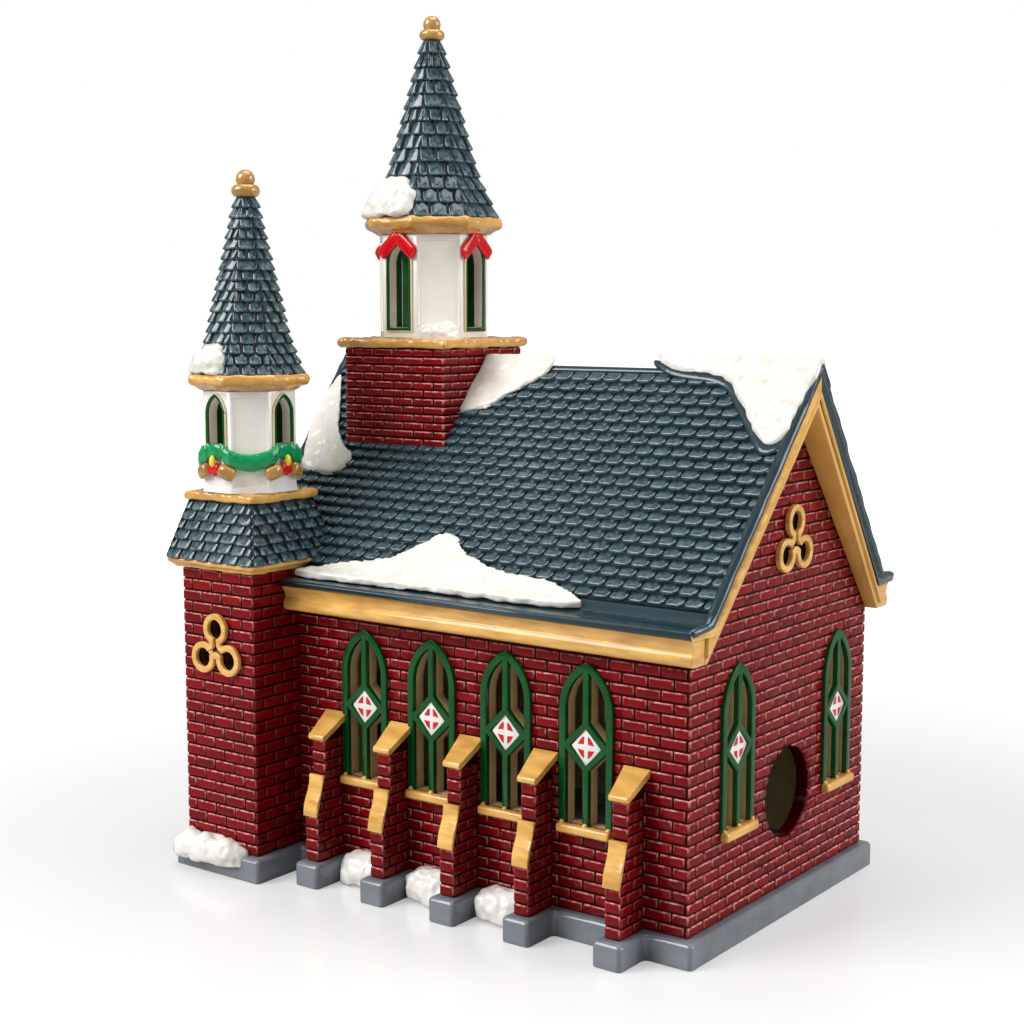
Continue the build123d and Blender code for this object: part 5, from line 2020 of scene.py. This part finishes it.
@dataclass
class Snow:
    """Lumpy glazed snow on the roof, the spires and the plinth."""

    voxel: float = 0.5
    roof_patches: tuple[tuple[str, float, float], ...] = (
        ("eave_snow", 0.7, 0.0),
        ("rear_ridge_snow", 0.85, 1.2),
        ("steeple_snow", 0.5, 0.0),
        ("front_rake_snow", 0.7, 0.0),
    )
    rim_flat: float = 0.3
    rim_inset: float = 0.4
    ground: float = 20.0
    bay_line: float = -68.0
    least_pile: float = 8.0
    tip: float = 0.15
    pile_spread: Point = (0.62, 0.58)
    bay_spread: float = 1.3
    foot_spread: float = 0.25
    bay_fall: Point = (1.2, 2.0)
    sags: Point = (0.2, 0.12)
    lowest: float = 0.5

    def build(self) -> None:
        """Make every patch of snow."""
        for node, flat, rim in self.roof_patches:
            self.patch(node, flat=flat, rim=rim)
        # The plinth's snow takes the brighter warm white, painted light on snow that the lamps leave in shade.
        self.patch("plinth_snow", 1.2, 4.5, True, WARM)
        self.patch("spire_snow", 1.1, 4.0, True)

    def patch(self, node: str, lump: float = 0.8, grain: float = 5.0, heaped: bool = False,
              finish: Finish = WHITE, flat: float = 1.0, rim: float = 0.0) -> None:
        """Round a solid over and give it lumps.

        Args:
            node: Solid of the patch.
            lump: Height of the lumps in millimetres.
            grain: Size of the lumps in millimetres.
            heaped: Whether its mounds are first drawn together into heaps.
            finish: Its glaze.
            flat: Share of its depth on the roof that is kept.
            rim: Reach of the slate edge that shows round it.
        """
        obj = node_copy(node, "_lumpy")
        if heaped:
            obj = self.heaps(obj)
        melt(obj, self.voxel, factor=0.6, rounds=6)
        lumps(obj, grain, 2 * lump, level=0.45, octaves=1)
        lumps(obj, 0.45 * grain, 0.35 * lump, level=0.45, octaves=1)
        modify(obj, "SMOOTH", factor=0.5, iterations=2)
        self.press(obj, flat)
        dress(obj, finish, LEDGE)
        if rim:
            border = node_copy(node, "_rim")
            melt(border, self.voxel, factor=0.6, rounds=6)
            modify(border, "DISPLACE", mid_level=0.0, strength=rim * MM)
            self.press(border, self.rim_flat, self.rim_inset)
            dress(border, finish, LEDGE)
            paint(border, 1)
            join(obj, border)
        settle(obj, node, 180)

    def press(self, obj: Object, flat: float, inset: float = 0.0) -> None:
        """Press a patch down on the roof and keep it inside the solids' box.

        Args:
            obj: The patch.
            flat: Share of its depth that is kept.
            inset: How far it stays inside the box along X, in millimetres.
        """
        roof = Shingles()
        for vertex in obj.data.vertices if flat < 1.0 else ():
            ground = roof.slope_height(abs(vertex.co.y) / MM) * MM
            vertex.co.z = ground + flat * (vertex.co.z - ground)
        keep_inside(obj, inset)

    def heaps(self, obj: Object) -> Object:
        """Draw each loose part of a piece together into one rounded heap.

        Args:
            obj: The piece.

        Returns:
            The heaps as one object.
        """
        parts = loose_parts(obj)
        for part in parts:
            on_all(part, (bpy.ops.mesh.convex_hull, {}))
            self.slump(part)
        return join(*parts)

    def slump(self, part: Object) -> None:
        """Spread a heap towards its foot and let it sag over its edge.

        Args:
            part: A heap on a spire, in a bay between piers or at the tower's foot.
        """
        corners = [vertex.co.copy() for vertex in part.data.vertices]
        top, foot = (choose(corner.z for corner in corners) for choose in (max, min))
        middle = sum(corners, Vector()) / len(corners)
        bay = foot < self.ground * MM and middle.y > self.bay_line * MM
        pile = foot > self.ground * MM and top - foot > self.least_pile * MM
        peak = middle.copy()
        if pile:
            axes = [Vector((*axis, 0)) * MM for axis in (STEEPLE, TOWER)]
            peak = middle.lerp(min(axes, key=lambda axis: (axis - middle).xy.length), self.tip)
        for vertex in part.data.vertices:
            low = (top - vertex.co.z) / (top - foot)
            spread = self.bay_spread if bay else 1.0 + self.foot_spread * low
            if pile:
                spread = self.pile_spread[0] + self.pile_spread[1] * low
            centre = peak.lerp(middle, low)
            vertex.co.x = centre.x + (vertex.co.x - middle.x) * spread
            if bay:
                vertex.co.y -= self.bay_fall[0] * MM * low
                vertex.co.z -= self.bay_fall[1] * MM
            elif pile:
                vertex.co.y = centre.y + (vertex.co.y - middle.y) * spread
            sag = self.sags[0 if bay else 1] * low * (top - foot)
            vertex.co.z = max(vertex.co.z - sag, self.lowest * MM)


# Stage


@dataclass
class Studio:
    """Floor, lamps and camera."""

    camera_place: Triple = (0.29557, -0.42133, 0.17127)
    camera_turn: Triple = (83.037, 0.0, 36.671)
    lens: float = 60.28
    target: Triple = (0.0, 0.0, 0.1)
    lamps: tuple[tuple[str, Triple, float, float], ...] = (
        ("key_softbox", (-0.5, -0.8, 0.75), 0.7, 12.5),
        ("side_softbox", (0.95, 0.45, 0.5), 0.7, 8.0),
        ("top_softbox", (0.05, 0.1, 1.1), 0.8, 7.0),
    )

    def build(self) -> None:
        """Set up the studio."""
        self.floor()
        self.world()
        for lamp in self.lamps:
            self.lamp(*lamp)
        data = bpy.data.cameras.new("camera")
        data.lens = self.lens
        data.sensor_width = 36.0
        data.clip_start = 0.01
        camera = new_object("camera", data)
        camera.location = self.camera_place
        camera.rotation_euler = [math.radians(a) for a in self.camera_turn]
        bpy.context.scene.camera = camera
        bpy.context.scene.view_settings.view_transform = "Standard"

    def lamp(self, name: str, place: Triple, size: float, power: float) -> None:
        """Square soft lamp aimed at the church.

        Args:
            name: Its name.
            place: Where it stands.
            size: Its width.
            power: Its power in watts.
        """
        data = bpy.data.lights.new(name, "AREA")
        data.shape = "SQUARE"
        data.size = size
        data.energy = power
        obj = new_object(name, data)
        obj.location = place
        obj.rotation_euler = (Vector(self.target) - Vector(place)).to_track_quat("-Z", "Y").to_euler()

    def floor(self) -> None:
        """Pale floor that keeps the shadow."""
        obj = primitive("plane", "floor", size=30.0)
        material = bpy.data.materials.new("floor_paper")
        material.use_nodes = True
        wires = Wires(material.node_tree)
        place = wires.add("TexCoord", result="Object")
        away = wires.add("VectorMath", {0: place}, "Value", operation="LENGTH")
        level = wires.add("MapRange", {"Value": away, "From Min": 0.18, "From Max": 0.75, "To Min": 0.36,
                                       "To Max": 1.0})
        glow = wires.times(level, wires.add("LightPath", result="Is Camera Ray"))
        wires.feed(wires.tree.nodes["Principled BSDF"], {
            "Base Color": (0.5, 0.5, 0.5, 1), "Roughness": 0.22, "Emission Strength": 1.0,
            "Emission Color": wires.add("CombineXYZ", {"X": glow, "Y": glow, "Z": glow})})
        obj.data.materials.append(material)
        obj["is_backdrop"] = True

    def world(self) -> None:
        """White round the object, softer for the light it gives."""
        world = bpy.data.worlds.new("studio")
        bpy.context.scene.world = world
        world.use_nodes = True
        wires = Wires(world.node_tree)
        seen = wires.add("LightPath", result="Is Camera Ray")
        level = wires.add("MapRange", {"Value": seen, "To Min": 0.28, "To Max": 1.0})
        wires.feed(wires.tree.nodes["Background"], {"Color": (1, 1, 1, 1), "Strength": level})


def main() -> None:
    """Build the church piece by piece."""
    logging.basicConfig(level=logging.INFO, format="%(name)s %(message)s")
    for part in (Studio(), Brickwork(), Shingles(), Windows(), SoftPieces(), Drums(), Garland(), Blooms(),
                 Ornaments(), Snow()):
        part.build()


if __name__ == "__main__":
    main()
